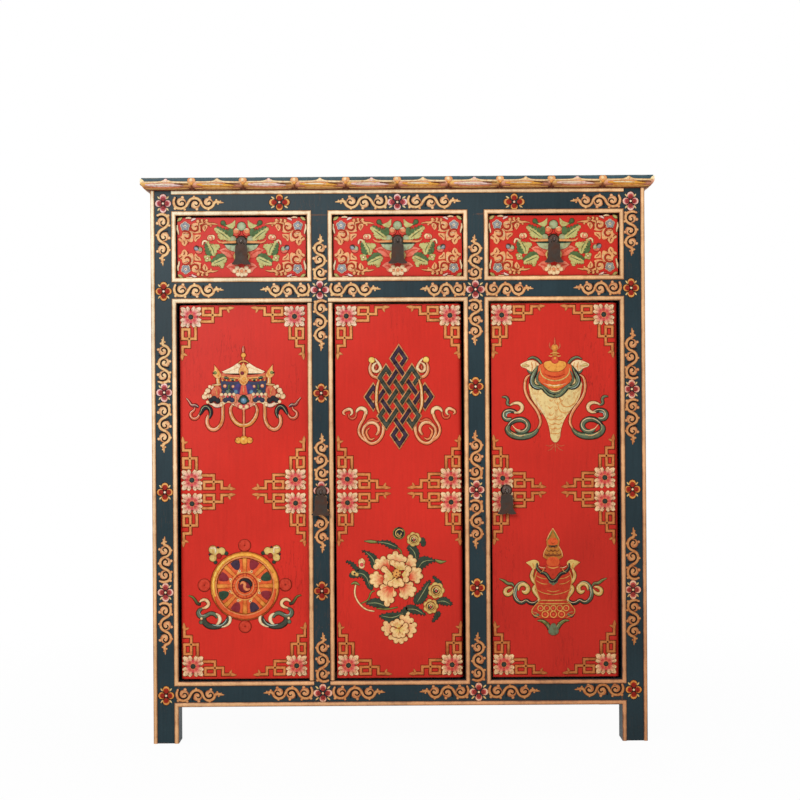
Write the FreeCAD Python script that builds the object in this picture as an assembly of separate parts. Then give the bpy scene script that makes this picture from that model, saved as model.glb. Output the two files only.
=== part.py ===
# A painted sideboard: three drawers over three doors, in a dark framed carcass
# whose openings are edged with round-topped gilt beads, under a top with a carved
# petal edge. Millimetres, +Z up, the front looks along -Y, and the origin is on
# the floor at the centre of the plan.
import FreeCAD
import Part
import math
import os

Vector = FreeCAD.Vector
OUT = "parts"

# Driving sizes of the carcass
bay_count = 3
bay_opening = 255.0
stile_width = 49.0
post_width = 49.0
post_depth = 45.0
rail_height = 49.0
rail_depth = 36.0
drawer_opening_height = 121.0
door_opening_height = 737.0
foot_height = 71.0
body_depth = 400.0

# Top board and its carved edge
top_thickness = 22.5
top_fillet_height = 8.5
side_overhang = 17.0
front_overhang = 20.0
petal_count_front = 10
petal_count_side = 4
petal_relief = 2.0
petal_valley_reach = 5.0
petal_valley_depth = 1.8
petal_knob_width = 16.0
petal_knob_height = 6.5
petal_tip_width = 13.0
petal_tip_height = 4.5

# Round-topped beads round the openings
bead_width = 8.5
bead_rise = 3.5
bead_shoulder = 1.8
edge_bead_width = 7.5
cap_bead_width = 8.0

# Joints of the frame
tenon_length = 24.0
tenon_thickness = 12.0
tenon_shoulder = 9.0
stile_tenon_length = 16.0
socket_end_gap = 1.0

# Sides
side_rail_thickness = 26.0
side_rail_setback = 3.0
side_panel_thickness = 10.0
panel_groove_depth = 8.0
panel_expansion_gap = 1.0

# Back
back_rail_thickness = 22.0
back_board_thickness = 8.0
back_rebate_width = 12.0
back_board_count = 5
back_board_bevel = 1.5

# Inside the carcass
floor_thickness = 14.0
floor_drop = 2.0
floor_groove_depth = 8.0
shelf_thickness = 14.0
shelf_level_share = 0.5
shelf_batten = 20.0
runner_thickness = 18.0
runner_reach = 22.5
guide_height = 35.0
guide_clearance = 0.5
kicker_thickness = 18.0
stop_thickness = 12.0
stop_height = 12.0
stop_hinge_clearance = 40.0
stop_gap = 0.3

# Drawers
drawer_side_gap = 2.5
drawer_top_gap = 3.5
drawer_bottom_gap = 1.0
drawer_recess = 4.0
drawer_front_thickness = 18.0
drawer_side_thickness = 12.0
drawer_side_drop = 2.0
drawer_back_thickness = 12.0
drawer_back_gap = 6.0
drawer_bottom_thickness = 6.0
drawer_bottom_inset = 8.0
drawer_groove_depth = 5.0
drawer_running_gap = 0.3
dovetail_count = 3
dovetail_length = 12.0
dovetail_root_share = 0.42
dovetail_tip_share = 0.66

# Doors
door_gap = 4.5
door_recess = 5.0
door_thickness = 18.0
door_batten_width = 42.0
door_batten_thickness = 20.0
door_batten_groove = 6.0
door_batten_flare = 3.0
door_batten_end_gap = 30.0
door_batten_level_shares = (0.18, 0.82)
pivot_radius = 5.0
pivot_running_gap = 0.08
pivot_seat = 12.0
pivot_end_gap = 1.0
meeting_stile_gap = 1.5
meeting_tongue = 8.0
meeting_tongue_thickness = 8.0

# Drop pulls
boss_radius = 11.5
boss_rim = 1.0
boss_height = 6.5
boss_shoulder_radius_share = 0.72
boss_shoulder_height_share = 0.66
boss_crown_radius_share = 0.4
cotter_width = 2.4
cotter_thickness = 3.0
cotter_hole_gap = 0.2
cotter_leg_length = 12.0
cotter_leg_thickness = 1.5
eye_outer_radius = 4.4
eye_inner_radius = 2.0
forged_facets = 12
hang_pin_radius = 1.2
hang_pin_clearance = 0.3
plate_thickness = 1.8
plate_length = 45.0
plate_width = 37.0
plate_lobe_drop = 0.8
plate_ear_radius = 3.0
plate_ear_clearance = 0.4
plate_eye_clearance = 0.8
pull_drawer_rise = 11.5
pull_door_level_share = 0.5
pull_door_edge_offset = 28.0

overrun = 1.0

# Places worked out from the sizes above
body_width = 2 * post_width + bay_count * bay_opening + (bay_count - 1) * stile_width
bay_pitch = bay_opening + stile_width
bay_names = ("left", "middle", "right")
bay_centres = [(n - (bay_count - 1) / 2) * bay_pitch for n in range(bay_count)]
top_width = body_width + 2 * side_overhang
top_depth = body_depth + front_overhang
front = front_overhang - top_depth / 2
back = front + body_depth
post_inner = body_width / 2 - post_width
rail_back = front + rail_depth
door_low = foot_height + rail_height
door_high = door_low + door_opening_height
drawer_low = door_high + rail_height
drawer_high = drawer_low + drawer_opening_height
top_low = drawer_high + rail_height
top_high = top_low + top_thickness
back_rail_back = back - back_board_thickness
back_rail_front = back_rail_back - back_rail_thickness
side_rail_outer = body_width / 2 - side_rail_setback
side_rail_inner = side_rail_outer - side_rail_thickness
side_panel_inner = side_rail_inner + (side_rail_thickness - side_panel_thickness) / 2
rail_levels = {"bottom": foot_height, "middle": door_high, "top": drawer_high}
door_axis_y = front + door_recess + door_thickness / 2


def box(x, y, z):
    """A block between the two values of each pair."""
    return Part.makeBox(x[1] - x[0], y[1] - y[0], z[1] - z[0], Vector(x[0], y[0], z[0]))


def reach(start, length):
    """The pair from start over a signed length."""
    return (min(start, start + length), max(start, start + length))


def inset(pair, margin):
    return (pair[0] + margin, pair[1] - margin)


def centred(middle, width):
    return (middle - width / 2, middle + width / 2)


def cut(shape, *tools):
    return shape.cut(Part.makeCompound(list(tools))) if tools else shape


def fuse(first, *others):
    return first.fuse(list(others)).removeSplitter() if others else first


def mirrored(shape):
    """The same piece on the other side of the sideboard."""
    return shape.mirror(Vector(0, 0, 0), Vector(1, 0, 0))


def cylinder(radius, start, axis, length):
    return Part.makeCylinder(radius, length, start, axis)


def forged_bar(radius, start, axis, length):
    """A small round bar or hole with the flats that a hammer leaves."""
    side = axis.cross(Vector(0, 0, 1) if abs(axis.z) < 0.5 else Vector(1, 0, 0)).normalize()
    up = axis.cross(side)
    turns = [2 * math.pi * (n + 1 / 2) / forged_facets for n in range(forged_facets)]
    points = [start + side * (radius * math.cos(a)) + up * (radius * math.sin(a)) for a in turns]
    return prism(points, axis * length)


def prism(points, along):
    """A closed outline of straight lines pushed along a vector."""
    wire = Part.makePolygon(list(points) + [points[0]])
    return Part.Face(wire).extrude(along)


def save(name, *shapes):
    """Writes one node, with every solid of every shape given."""
    solids = [solid for shape in shapes for solid in shape.Solids]
    shape = solids[0] if len(solids) == 1 else Part.makeCompound(solids)
    shape.exportStep(os.path.join(OUT, name + ".step"))


# Frame joints: a tenon and its socket are the same block, the socket longer by its end gap


def end_tenon_x(shoulder, sign, y, z, extra=0.0):
    """A tenon that leaves a rail's shoulder along X."""
    y_middle = (y[0] + y[1]) / 2
    x = reach(shoulder, sign * (tenon_length + extra))
    return box(x, centred(y_middle, tenon_thickness), inset(z, tenon_shoulder))


def end_tenon_y(shoulder, sign, x, z, extra=0.0):
    """A tenon that leaves a side rail's shoulder along Y, as thick as the panel."""
    x_middle = (x[0] + x[1]) / 2
    y = reach(shoulder, sign * (tenon_length + extra))
    return box(centred(x_middle, side_panel_thickness), y, inset(z, tenon_shoulder))


def end_tenon_z(shoulder, sign, x, y, extra=0.0):
    """A tenon that leaves a stile's shoulder along Z."""
    y_middle = (y[0] + y[1]) / 2
    z = reach(shoulder, sign * (stile_tenon_length + extra))
    return box(inset(x, tenon_shoulder), centred(y_middle, tenon_thickness), z)


# Carcass

front_y = (front, rail_back)
back_rail_y = (back_rail_front, back_rail_back)
side_rail_x = (side_rail_inner, side_rail_outer)
side_rail_y = (front + post_depth, back - post_depth)


def rail_z(level):
    return reach(rail_levels[level], rail_height)


def stile_x(bay):
    """The stile to the right of a bay."""
    return reach(bay_centres[bay] + bay_opening / 2, stile_width)


def make_post(y, rail_y, rail_cuts):
    """A right-hand corner post with its sockets and its panel groove."""
    post = box((post_inner, post_inner + post_width), y, (0, top_low))
    sockets = []
    for level in rail_cuts:
        sockets.append(end_tenon_x(post_inner, 1, rail_y, rail_z(level), socket_end_gap))
    inner_face, sign = (y[1], -1) if y[0] == front else (y[0], 1)
    for level in ("bottom", "top"):
        sockets.append(end_tenon_y(inner_face, sign, side_rail_x, rail_z(level), socket_end_gap))
    panel_x = reach(side_panel_inner, side_panel_thickness)
    groove_z = (rail_z("bottom")[1] - panel_groove_depth, rail_z("top")[0] + panel_groove_depth)
    sockets.append(box(panel_x, reach(inner_face, sign * panel_groove_depth), groove_z))
    return cut(post, *sockets)


def make_front_post():
    return make_post((front, front + post_depth), front_y, rail_levels)


def make_back_post():
    """A back post, rebated for the back boards."""
    post = make_post((back - post_depth, back), back_rail_y, rail_levels)
    rebate_x = (post_inner - overrun, post_inner + back_rebate_width)
    rebate = box(rebate_x, (back_rail_back, back + overrun), (foot_height, top_low + overrun))
    return cut(post, rebate)


def stile_sockets(level, bays, sign):
    """Sockets in a rail for the stiles that stand on it or hang under it."""
    face = rail_z(level)[1] if sign < 0 else rail_z(level)[0]
    return [end_tenon_z(face, sign, stile_x(bay), front_y, socket_end_gap) for bay in bays]


def pivot_hole(bay, face, sign):
    """The hole in a rail that a door's pivot pin turns in."""
    start = Vector(door_axis_x(bay), door_axis_y, face)
    return cylinder(pivot_radius + pivot_running_gap, start, Vector(0, 0, sign), pivot_seat + pivot_end_gap)


def make_front_rail(level):
    z = rail_z(level)
    rail = box((-post_inner, post_inner), front_y, z)
    tenons = [end_tenon_x(sign * post_inner, sign, front_y, z) for sign in (-1, 1)]
    tools = []
    if level == "top":
        tools += stile_sockets(level, range(bay_count - 1), 1)
    if level == "middle":
        tools += stile_sockets(level, range(bay_count - 1), -1)
        tools += stile_sockets(level, [bay_count - 2], 1)
        tools += [pivot_hole(bay, z[0], 1) for bay in range(bay_count)]
    if level == "bottom":
        tools += stile_sockets(level, [bay_count - 2], -1)
        tools += [pivot_hole(bay, z[1], -1) for bay in range(bay_count)]
        tools.append(floor_housing())
    return cut(fuse(rail, *tenons), *tools)


def make_drawer_stiles():
    """The short stiles between the drawers."""
    stiles = []
    for bay in range(bay_count - 1):
        x = stile_x(bay)
        body = box(x, front_y, (drawer_low, drawer_high))
        low = end_tenon_z(drawer_low, -1, x, front_y)
        high = end_tenon_z(drawer_high, 1, x, front_y)
        stiles.append(fuse(body, low, high))
    return stiles


def make_door_stile():
    """The fixed stile between the middle and the right-hand door."""
    x = stile_x(bay_count - 2)
    body = box(x, front_y, (door_low, door_high))
    return fuse(body, end_tenon_z(door_low, -1, x, front_y), end_tenon_z(door_high, 1, x, front_y))


def make_side_rails():
    """The right side's bottom and top rails, grooved for the panel."""
    rails = []
    panel_x = reach(side_panel_inner, side_panel_thickness)
    for level, face_index, sign in (("bottom", 1, -1), ("top", 0, 1)):
        z = rail_z(level)
        rail = box(side_rail_x, side_rail_y, z)
        tenons = [
            end_tenon_y(side_rail_y[0], -1, side_rail_x, z),
            end_tenon_y(side_rail_y[1], 1, side_rail_x, z),
        ]
        groove = box(panel_x, side_rail_y, reach(z[face_index], sign * panel_groove_depth))
        rails.append(cut(fuse(rail, *tenons), groove))
    return rails


def make_side_panel():
    """The right side's plank panel, held in the grooves with room to move."""
    hold = panel_groove_depth - panel_expansion_gap
    y = inset(side_rail_y, -hold)
    z = (rail_z("bottom")[1] - hold, rail_z("top")[0] + hold)
    return box(reach(side_panel_inner, side_panel_thickness), y, z)


def make_back_rails():
    rails = []
    for level in rail_levels:
        z = rail_z(level)
        rail = box((-post_inner, post_inner), back_rail_y, z)
        tenons = [end_tenon_x(sign * post_inner, sign, back_rail_y, z) for sign in (-1, 1)]
        rail = fuse(rail, *tenons)
        rails.append(cut(rail, floor_housing()) if level == "bottom" else rail)
    return rails


def make_back_boards():
    """Upright back boards, bevelled where they meet, in the rebates of the posts."""
    total = 2 * (post_inner + back_rebate_width)
    width = total / back_board_count
    boards = []
    for n in range(back_board_count):
        x = reach(n * width - total / 2, width)
        outline = [
            Vector(x[0], back_rail_back, foot_height),
            Vector(x[1], back_rail_back, foot_height),
            Vector(x[1], back - back_board_bevel, foot_height),
            Vector(x[1] - back_board_bevel, back, foot_height),
            Vector(x[0] + back_board_bevel, back, foot_height),
            Vector(x[0], back - back_board_bevel, foot_height),
        ]
        boards.append(prism(outline, Vector(0, 0, top_low - foot_height)))
    return boards


def floor_z():
    return reach(door_low - floor_drop, -floor_thickness)


def floor_housing():
    """The block that the floor board fills between the front and the back rail."""
    y = (rail_back - floor_groove_depth, back_rail_front + floor_groove_depth)
    return box((-post_inner, post_inner), y, floor_z())


def make_floor():
    """The cupboard floor, housed in the rails and wider between the posts."""
    wings = box((-side_rail_inner, side_rail_inner), side_rail_y, floor_z())
    return fuse(floor_housing(), wings)


def shelf_low():
    return door_low + (door_opening_height - shelf_thickness) * shelf_level_share


def make_shelf():
    z = reach(shelf_low(), shelf_thickness)
    wide = box((-side_panel_inner, side_panel_inner), side_rail_y, z)
    rear = box((-post_inner, post_inner), (side_rail_y[1], back_rail_back), z)
    return fuse(wide, rear)


def make_shelf_battens():
    """Battens on both side panels and on the back boards that the shelf lies on."""
    z = reach(shelf_low(), -shelf_batten)
    right = box(reach(side_panel_inner, -shelf_batten), side_rail_y, z)
    rear = box((-post_inner, post_inner), reach(back_rail_back, -shelf_batten), z)
    return [right, mirrored(right), rear]


def under_drawer_sides(z, side_inner):
    """Four boards front to back, one under or over each pair of neighbouring drawer sides."""
    y = (rail_back, back_rail_front)
    reach_in = bay_opening / 2 - runner_reach
    boards = []
    for bay in range(bay_count - 1):
        x = (bay_centres[bay] + reach_in, bay_centres[bay + 1] - reach_in)
        boards.append(box(x, y, z))
    inner = bay_centres[-1] + reach_in
    outer = fuse(box((inner, post_inner), y, z), box((inner, side_inner), side_rail_y, z))
    return boards + [outer, mirrored(outer)]


def make_runners():
    return under_drawer_sides(reach(drawer_low, -runner_thickness), side_panel_inner)


def make_kickers():
    """Boards over the drawer sides that keep an open drawer from tipping."""
    return under_drawer_sides(reach(drawer_high, kicker_thickness), side_rail_inner)


def make_guides():
    """Blocks on the runners that keep the drawers straight."""
    z = reach(drawer_low, guide_height)
    side = bay_opening / 2 - drawer_side_gap + guide_clearance
    guides = []
    for bay in range(bay_count - 1):
        x = (bay_centres[bay] + side, bay_centres[bay + 1] - side)
        guides.append(box(x, (rail_back, back_rail_front), z))
    outer = box((bay_centres[-1] + side, side_panel_inner), side_rail_y, z)
    return guides + [outer, mirrored(outer)]


def make_door_stops():
    """Strips behind the doors, clear of the round hinge edges."""
    y = reach(front + door_recess + door_thickness + stop_gap, stop_thickness)
    pair_x = (-post_inner + stop_hinge_clearance, bay_opening / 2 - stop_hinge_clearance)
    single_x = (stile_x(bay_count - 2)[1], post_inner - stop_hinge_clearance)
    stops = []
    for x in (pair_x, single_x):
        stops.append(box(x, y, reach(door_low, stop_height)))
        stops.append(box(x, y, reach(door_high, -stop_height)))
    return stops


# Beads


def bead_strip(start, end, outward, mitre_start, mitre_end, width):
    """A round-topped strip on the frame's face beside the line from start to end.

    The line is the strip's inner edge. A mitred end slopes out at 45 degrees."""
    along = (end - start).normalize()
    first = start - along * (width if mitre_start else 0)
    last = end + along * (width if mitre_end else 0)
    far = first + outward * width
    shoulder = Vector(0, -bead_shoulder, 0)
    crown = first + outward * (width / 2) + Vector(0, -bead_rise, 0)
    arc = Part.Arc(first + shoulder, crown, far + shoulder).toShape()
    sides = [Part.makeLine(far + shoulder, far), Part.makeLine(far, first),
             Part.makeLine(first, first + shoulder)]
    strip = Part.Face(Part.Wire([arc] + sides)).extrude(last - first)
    deep = Vector(0, overrun, 0)
    rise = Vector(0, -2 * (bead_rise + overrun), 0)
    tools = []
    for corner, away, mitred in ((start, -along, mitre_start), (end, along, mitre_end)):
        if mitred:
            span = (width + overrun)
            tools.append(prism([
                corner + deep - outward * overrun - away * overrun,
                corner + deep - outward * overrun + away * span,
                corner + deep + outward * span + away * span,
            ], rise))
    return cut(strip, *tools)


def bead_frame(x, z, sides, open_reach, width=bead_width):
    """The beads round one opening in the frame's face, mitred where two of them meet."""
    corners = {
        "left": (Vector(x[0], front, z[0]), Vector(x[0], front, z[1]), Vector(-1, 0, 0), "bottom", "top"),
        "right": (Vector(x[1], front, z[0]), Vector(x[1], front, z[1]), Vector(1, 0, 0), "bottom", "top"),
        "top": (Vector(x[0], front, z[1]), Vector(x[1], front, z[1]), Vector(0, 0, 1), "left", "right"),
        "bottom": (Vector(x[0], front, z[0]), Vector(x[1], front, z[0]), Vector(0, 0, -1), "left", "right"),
    }
    strips = []
    for side in sides:
        start, end, outward, before, after = corners[side]
        along = (end - start).normalize()
        low = start if before in sides else start - along * open_reach
        high = end if after in sides else end + along * open_reach
        strips.append(bead_strip(low, high, outward, before in sides, after in sides, width))
    return strips


def bay_x(bay):
    return centred(bay_centres[bay], bay_opening)


def make_drawer_beads():
    z = (drawer_low, drawer_high)
    every_side = ("left", "top", "right", "bottom")
    return [strip for bay in range(bay_count) for strip in bead_frame(bay_x(bay), z, every_side, 0)]


def make_door_beads():
    """Beads round the doors. The meeting stile carries the two that are missing here."""
    z = (door_low, door_high)
    sides = [("left", "top", "bottom"), ("top", "right", "bottom"), ("left", "top", "right", "bottom")]
    strips = []
    for bay in range(bay_count):
        strips += bead_frame(bay_x(bay), z, sides[bay], bead_width)
    return strips


def make_base_beads():
    """The bead under the bottom rail, which turns down the inside of both feet."""
    return bead_frame((-post_inner, post_inner), (0, foot_height), ("left", "top", "right"), 0)


def make_cap_bead():
    start = Vector(-post_inner - bead_width, front, top_low - cap_bead_width)
    end = Vector(post_inner + bead_width, front, top_low - cap_bead_width)
    return bead_strip(start, end, Vector(0, 0, 1), False, False, cap_bead_width)


def make_corner_beads():
    """Upright beads on the outer edge of both front posts."""
    x = body_width / 2 - edge_bead_width
    right = bead_strip(Vector(x, front, 0), Vector(x, front, top_low), Vector(1, 0, 0), False, False,
                       edge_bead_width)
    return [right, mirrored(right)]


# Top board

fillet_low = top_high - top_fillet_height
edge_bulge_share = 0.78
edge_bulge_height_share = 0.42
edge_lip_height_share = 0.82


def make_top_board():
    """The core over the carcass and the wider, thinner board that shows as a dark fillet."""
    x = centred(0, body_width)
    core = box(x, (front, back), (top_low, top_high))
    edge_x = centred(0, top_width - 2 * petal_relief)
    plate = box(edge_x, (front - front_overhang + petal_relief, back), (fillet_low, top_high))
    return fuse(core, plate)


def edge_outline(at, outward, overhang):
    """The outline under the fillet, square to the run: a quarter round and a short brow."""
    rise = fillet_low - top_low
    up = Vector(0, 0, 1)
    bulge = at + outward * (overhang * edge_bulge_share) + up * (rise * edge_bulge_height_share)
    lip = at + outward * overhang + up * (rise * edge_lip_height_share)
    brow = at + outward * overhang + up * rise
    root = at + up * rise
    arc = Part.Arc(at, bulge, lip).toShape()
    return Part.Wire([arc, Part.makeLine(lip, brow), Part.makeLine(brow, root), Part.makeLine(root, at)])


def petal_valley(at, along, outward, overhang):
    """A wedge that cuts the narrow valley where two petals meet, deepest at the bulge."""
    rise = fillet_low - top_low
    chord = outward * overhang + Vector(0, 0, rise * edge_lip_height_share)
    normal = along.cross(chord).normalize()
    if normal.z > 0:
        normal = -normal
    bulge = outward * (overhang * edge_bulge_share) + Vector(0, 0, rise * edge_bulge_height_share)
    bottom = at + normal * (bulge.dot(normal) - petal_valley_depth) - chord
    spread = normal * (2 * petal_valley_depth)
    wide = along * (2 * petal_valley_reach)
    return prism([bottom, bottom + spread + wide, bottom + spread - wide], chord * 3)


def petal_tip(base, along, outward):
    """The pointed tip of a petal, which lies over the fillet."""
    half = along * (petal_tip_width / 2)
    point = base + Vector(0, 0, petal_tip_height)
    return prism([base - half, point, base + half], outward * petal_relief)


def petal_knob(base, along, outward):
    """The round knob where two petals meet."""
    half = petal_knob_width / 2
    top = base + Vector(0, 0, petal_knob_height)
    dome = Part.Arc(base - along * half, top, base + along * half).toShape()
    chord = Part.makeLine(base + along * half, base - along * half)
    return Part.Face(Part.Wire([dome, chord])).extrude(outward * petal_relief)


def petal_run(start, along, outward, length, overhang, count, knobs):
    """A carved run of petals with a pointed tip each and a knob wherever two meet."""
    pitch = length / count
    meetings = [n for n in knobs if 0 < n < count]
    run = Part.Face(edge_outline(start, outward, overhang)).extrude(along * length)
    valleys = [petal_valley(start + along * (n * pitch), along, outward, overhang)
               for n in meetings]
    seat = start + outward * (overhang - petal_relief) + Vector(0, 0, fillet_low - top_low)
    tips = [petal_tip(seat + along * ((n + 1 / 2) * pitch), along, outward) for n in range(count)]
    rounds = [petal_knob(seat + along * (n * pitch), along, outward) for n in knobs]
    return cut(run, *valleys).fuse(tips + rounds)


def mitre_block(sign, keep_front):
    """The half-space on one side of the mitre line through a front corner, as a prism."""
    corner = Vector(sign * body_width / 2, front, top_low - overrun)
    far = 2 * (side_overhang + front_overhang)
    out = Vector(sign * side_overhang, -front_overhang, 0) * (far / side_overhang)
    turn = Vector(0, -far, 0) if keep_front else Vector(sign * far, 0, 0)
    spread = turn * (far / side_overhang)
    return prism([corner, corner + out, corner + spread], Vector(0, 0, top_thickness + 2 * overrun))


def make_edge_moulding():
    """Three carved lengths, mitred at the front corners."""
    front_start = Vector(-top_width / 2, front, top_low)
    front_run = petal_run(front_start, Vector(1, 0, 0), Vector(0, -1, 0), top_width, front_overhang,
                          petal_count_front, range(petal_count_front + 1))
    front_run = cut(front_run, mitre_block(-1, False), mitre_block(1, False))
    side_start = Vector(body_width / 2, front - front_overhang, top_low)
    side_run = petal_run(side_start, Vector(0, 1, 0), Vector(1, 0, 0), top_depth, side_overhang,
                         petal_count_side, range(petal_count_side))
    side_run = cut(side_run, mitre_block(1, True))
    return [front_run, side_run, mirrored(side_run)]


# Drawers


def dovetail_tails(x, y_root, y_tip, z):
    """The tails on the end of a drawer side, wider at the tip than at the root."""
    pitch = (z[1] - z[0]) / dovetail_count
    tails = []
    for n in range(dovetail_count):
        middle = z[0] + (n + 1 / 2) * pitch
        root = pitch * dovetail_root_share / 2
        tip = pitch * dovetail_tip_share / 2
        outline = [
            Vector(x[0], y_root, middle - root),
            Vector(x[0], y_tip, middle - tip),
            Vector(x[0], y_tip, middle + tip),
            Vector(x[0], y_root, middle + root),
        ]
        tails.append(prism(outline, Vector(x[1] - x[0], 0, 0)))
    return tails


def make_drawer(bay):
    """The front, the two sides with the back, and the bottom of one drawer."""
    middle = bay_centres[bay]
    half = bay_opening / 2 - drawer_side_gap
    face = front + drawer_recess
    inside = face + drawer_front_thickness
    end = back_rail_front - drawer_back_gap
    side_z = (drawer_low + drawer_running_gap, drawer_high - drawer_top_gap - drawer_side_drop)
    bottom_z = reach(side_z[0] + drawer_bottom_inset, drawer_bottom_thickness)
    back_z = (bottom_z[1], side_z[1])
    board_z = (drawer_low + drawer_bottom_gap, drawer_high - drawer_top_gap)
    left_x = reach(middle - half, drawer_side_thickness)
    right_x = reach(middle + half, -drawer_side_thickness)
    hollow_x = (left_x[1], right_x[0])
    panel_x = inset(hollow_x, -drawer_groove_depth)
    panel = box(panel_x, (inside - drawer_groove_depth, end), bottom_z)

    board = box(centred(middle, 2 * half), (face, inside), board_z)
    sides = []
    back_board = box(hollow_x, reach(end, -drawer_back_thickness), back_z)
    for x in (left_x, right_x):
        front_tails = dovetail_tails(x, inside, inside - dovetail_length, side_z)
        board = cut(board, *front_tails)
        side = fuse(box(x, (inside, end), side_z), *front_tails)
        corner = box(x, reach(end, -drawer_back_thickness), back_z)
        pins = cut(corner, *dovetail_tails(x, end - drawer_back_thickness, end, back_z))
        sides.append(cut(side, pins, panel))
        back_board = fuse(back_board, pins)
    board = cut(board, panel, pull_hole(middle, pull_drawer_z(), face, drawer_front_thickness))
    return board, sides + [back_board], panel


# Doors


def door_x(bay):
    """The two upright edges of a door's leaf. The left leaf ends at its meeting stile."""
    low, high = inset(bay_x(bay), door_gap)
    if bay == 0:
        high = stile_x(0)[0]
    return low, high


def door_axis_x(bay):
    """The hinge is on the left of the left door and on the right of the others."""
    edge = door_x(bay)[0] if bay == 0 else door_x(bay)[1]
    return edge + (door_thickness / 2 if bay == 0 else -door_thickness / 2)


def door_z():
    return (door_low + door_gap, door_high - door_gap)


def door_y():
    return reach(front + door_recess, door_thickness)


def leaf_pivots(bay):
    """The two round pins cut on the ends of a door's hinge edge."""
    pins = []
    for end, sign in ((door_z()[0], -1), (door_z()[1], 1)):
        pins.append(cylinder(pivot_radius, Vector(door_axis_x(bay), door_axis_y, end), Vector(0, 0, sign),
                             door_gap + pivot_seat))
    return pins


def make_door_battens(bay):
    """Dovetailed battens driven into the back of a door."""
    low, high = door_x(bay)
    x = (low + door_batten_end_gap, high - door_batten_end_gap)
    groove_y = door_y()[1] - door_batten_groove
    root_half = door_batten_width / 2
    battens = []
    for share in door_batten_level_shares:
        z = door_z()[0] + (door_z()[1] - door_z()[0]) * share
        outline = [
            Vector(x[0], groove_y, z - root_half),
            Vector(x[0], door_y()[1], z - root_half + door_batten_flare),
            Vector(x[0], groove_y + door_batten_thickness, z - root_half + door_batten_flare),
            Vector(x[0], groove_y + door_batten_thickness, z + root_half - door_batten_flare),
            Vector(x[0], door_y()[1], z + root_half - door_batten_flare),
            Vector(x[0], groove_y, z + root_half),
        ]
        battens.append(prism(outline, Vector(x[1] - x[0], 0, 0)))
    return battens


def make_leaf(bay):
    """A plank door leaf with a round hinge edge that ends in its pivots, and batten grooves."""
    low, high = door_x(bay)
    axis_x = door_axis_x(bay)
    flat_x = (axis_x, high) if bay == 0 else (low, axis_x)
    flat = box(flat_x, door_y(), door_z())
    length = door_z()[1] - door_z()[0]
    edge = cylinder(door_thickness / 2, Vector(axis_x, door_axis_y, door_z()[0]), Vector(0, 0, 1), length)
    leaf = fuse(flat, edge, *leaf_pivots(bay))
    if bay == 0:
        leaf = fuse(leaf, meeting_tongue_block())
    return cut(leaf, *make_door_battens(bay))


def meeting_tongue_block():
    """The tongue along the left leaf's free edge that the meeting stile is grooved for."""
    x = reach(door_x(0)[1], meeting_tongue)
    return box(x, centred(door_axis_y, meeting_tongue_thickness), door_z())


def meeting_stile_z():
    return inset((door_low, door_high), meeting_stile_gap)


def make_meeting_stile():
    """The stile on the left door's free edge, level with the frame's face."""
    stile = box(stile_x(0), (front, door_y()[1]), meeting_stile_z())
    middle = sum(stile_x(0)) / 2
    hole = pull_hole(middle, pull_door_z(), front, door_y()[1] - front)
    return cut(stile, meeting_tongue_block(), hole)


def make_meeting_beads():
    low, high = stile_x(0)
    z = meeting_stile_z()
    left = bead_strip(Vector(low, front, z[0]), Vector(low, front, z[1]), Vector(1, 0, 0), False, False,
                      bead_width)
    right = bead_strip(Vector(high, front, z[0]), Vector(high, front, z[1]), Vector(-1, 0, 0), False,
                       False, bead_width)
    return [left, right]


# Drop pulls


def pull_drawer_z():
    middle = (drawer_low + drawer_bottom_gap + drawer_high - drawer_top_gap) / 2
    return middle + pull_drawer_rise


def pull_door_z():
    return door_low + door_opening_height * pull_door_level_share


def pull_hole(x, z, face, thickness):
    """The hole that a pull's split pin goes through."""
    y = (face - overrun, face + thickness + overrun)
    return box(centred(x, cotter_width + 2 * cotter_hole_gap), y,
               centred(z, cotter_thickness + 2 * cotter_hole_gap))


def make_boss(x, z, face):
    """The domed round plate behind a pull, turned about the split pin."""
    outline = [
        (0, 0),
        (boss_radius, 0),
        (boss_radius, boss_rim),
        (boss_radius * boss_shoulder_radius_share, boss_height * boss_shoulder_height_share),
        (boss_radius * boss_crown_radius_share, boss_height),
        (0, boss_height),
    ]
    points = [Vector(x + r, face - h, z) for r, h in outline]
    section = Part.Face(Part.makePolygon(points + [points[0]]))
    dome = section.revolve(Vector(x, face, z), Vector(0, 1, 0), 360)
    return cut(dome, pull_hole(x, z, face - boss_height, boss_height))


def eye_centre(x, z, face):
    return Vector(x, face - boss_height - eye_outer_radius, z)


def make_cotter(x, z, face, thickness):
    """The split pin: an eye in front, a flat stem through the board and two legs bent behind."""
    eye_at = eye_centre(x, z, face) - Vector(cotter_width / 2, 0, 0)
    eye = forged_bar(eye_outer_radius, eye_at, Vector(1, 0, 0), cotter_width)
    hole = forged_bar(eye_inner_radius, eye_at, Vector(1, 0, 0), cotter_width)
    eye_wall = (eye_outer_radius - eye_inner_radius) / 2
    behind = reach(face + thickness, cotter_leg_thickness)
    stem = box(centred(x, cotter_width), (face - boss_height - eye_wall, behind[1]),
               centred(z, cotter_thickness))
    legs = box(centred(x, 2 * cotter_leg_length), behind, centred(z, cotter_thickness))
    return fuse(cut(eye, hole), stem, legs)


def hang_axis(x, z, face):
    """The axis that a pull's plate swings about, low in the eye."""
    drop = eye_inner_radius - hang_pin_radius - hang_pin_clearance
    return eye_centre(x, z, face) - Vector(0, 0, drop)


# Half of the plate's outline below the hanging pin, as shares of its half width and its length
plate_neck_share = (0.23, 0.14)
plate_shoulder_share = (0.62, 0.2)
plate_waist_share = (0.66, 0.56)
plate_flare_share = (0.75, 0.84)
plate_corner_share = (1.0, 0.96)
plate_heel_share = (0.94, 1.0)
plate_lobe_share = (0.48, 1.0)
plate_cusp_share = (0, 0.965)


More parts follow.
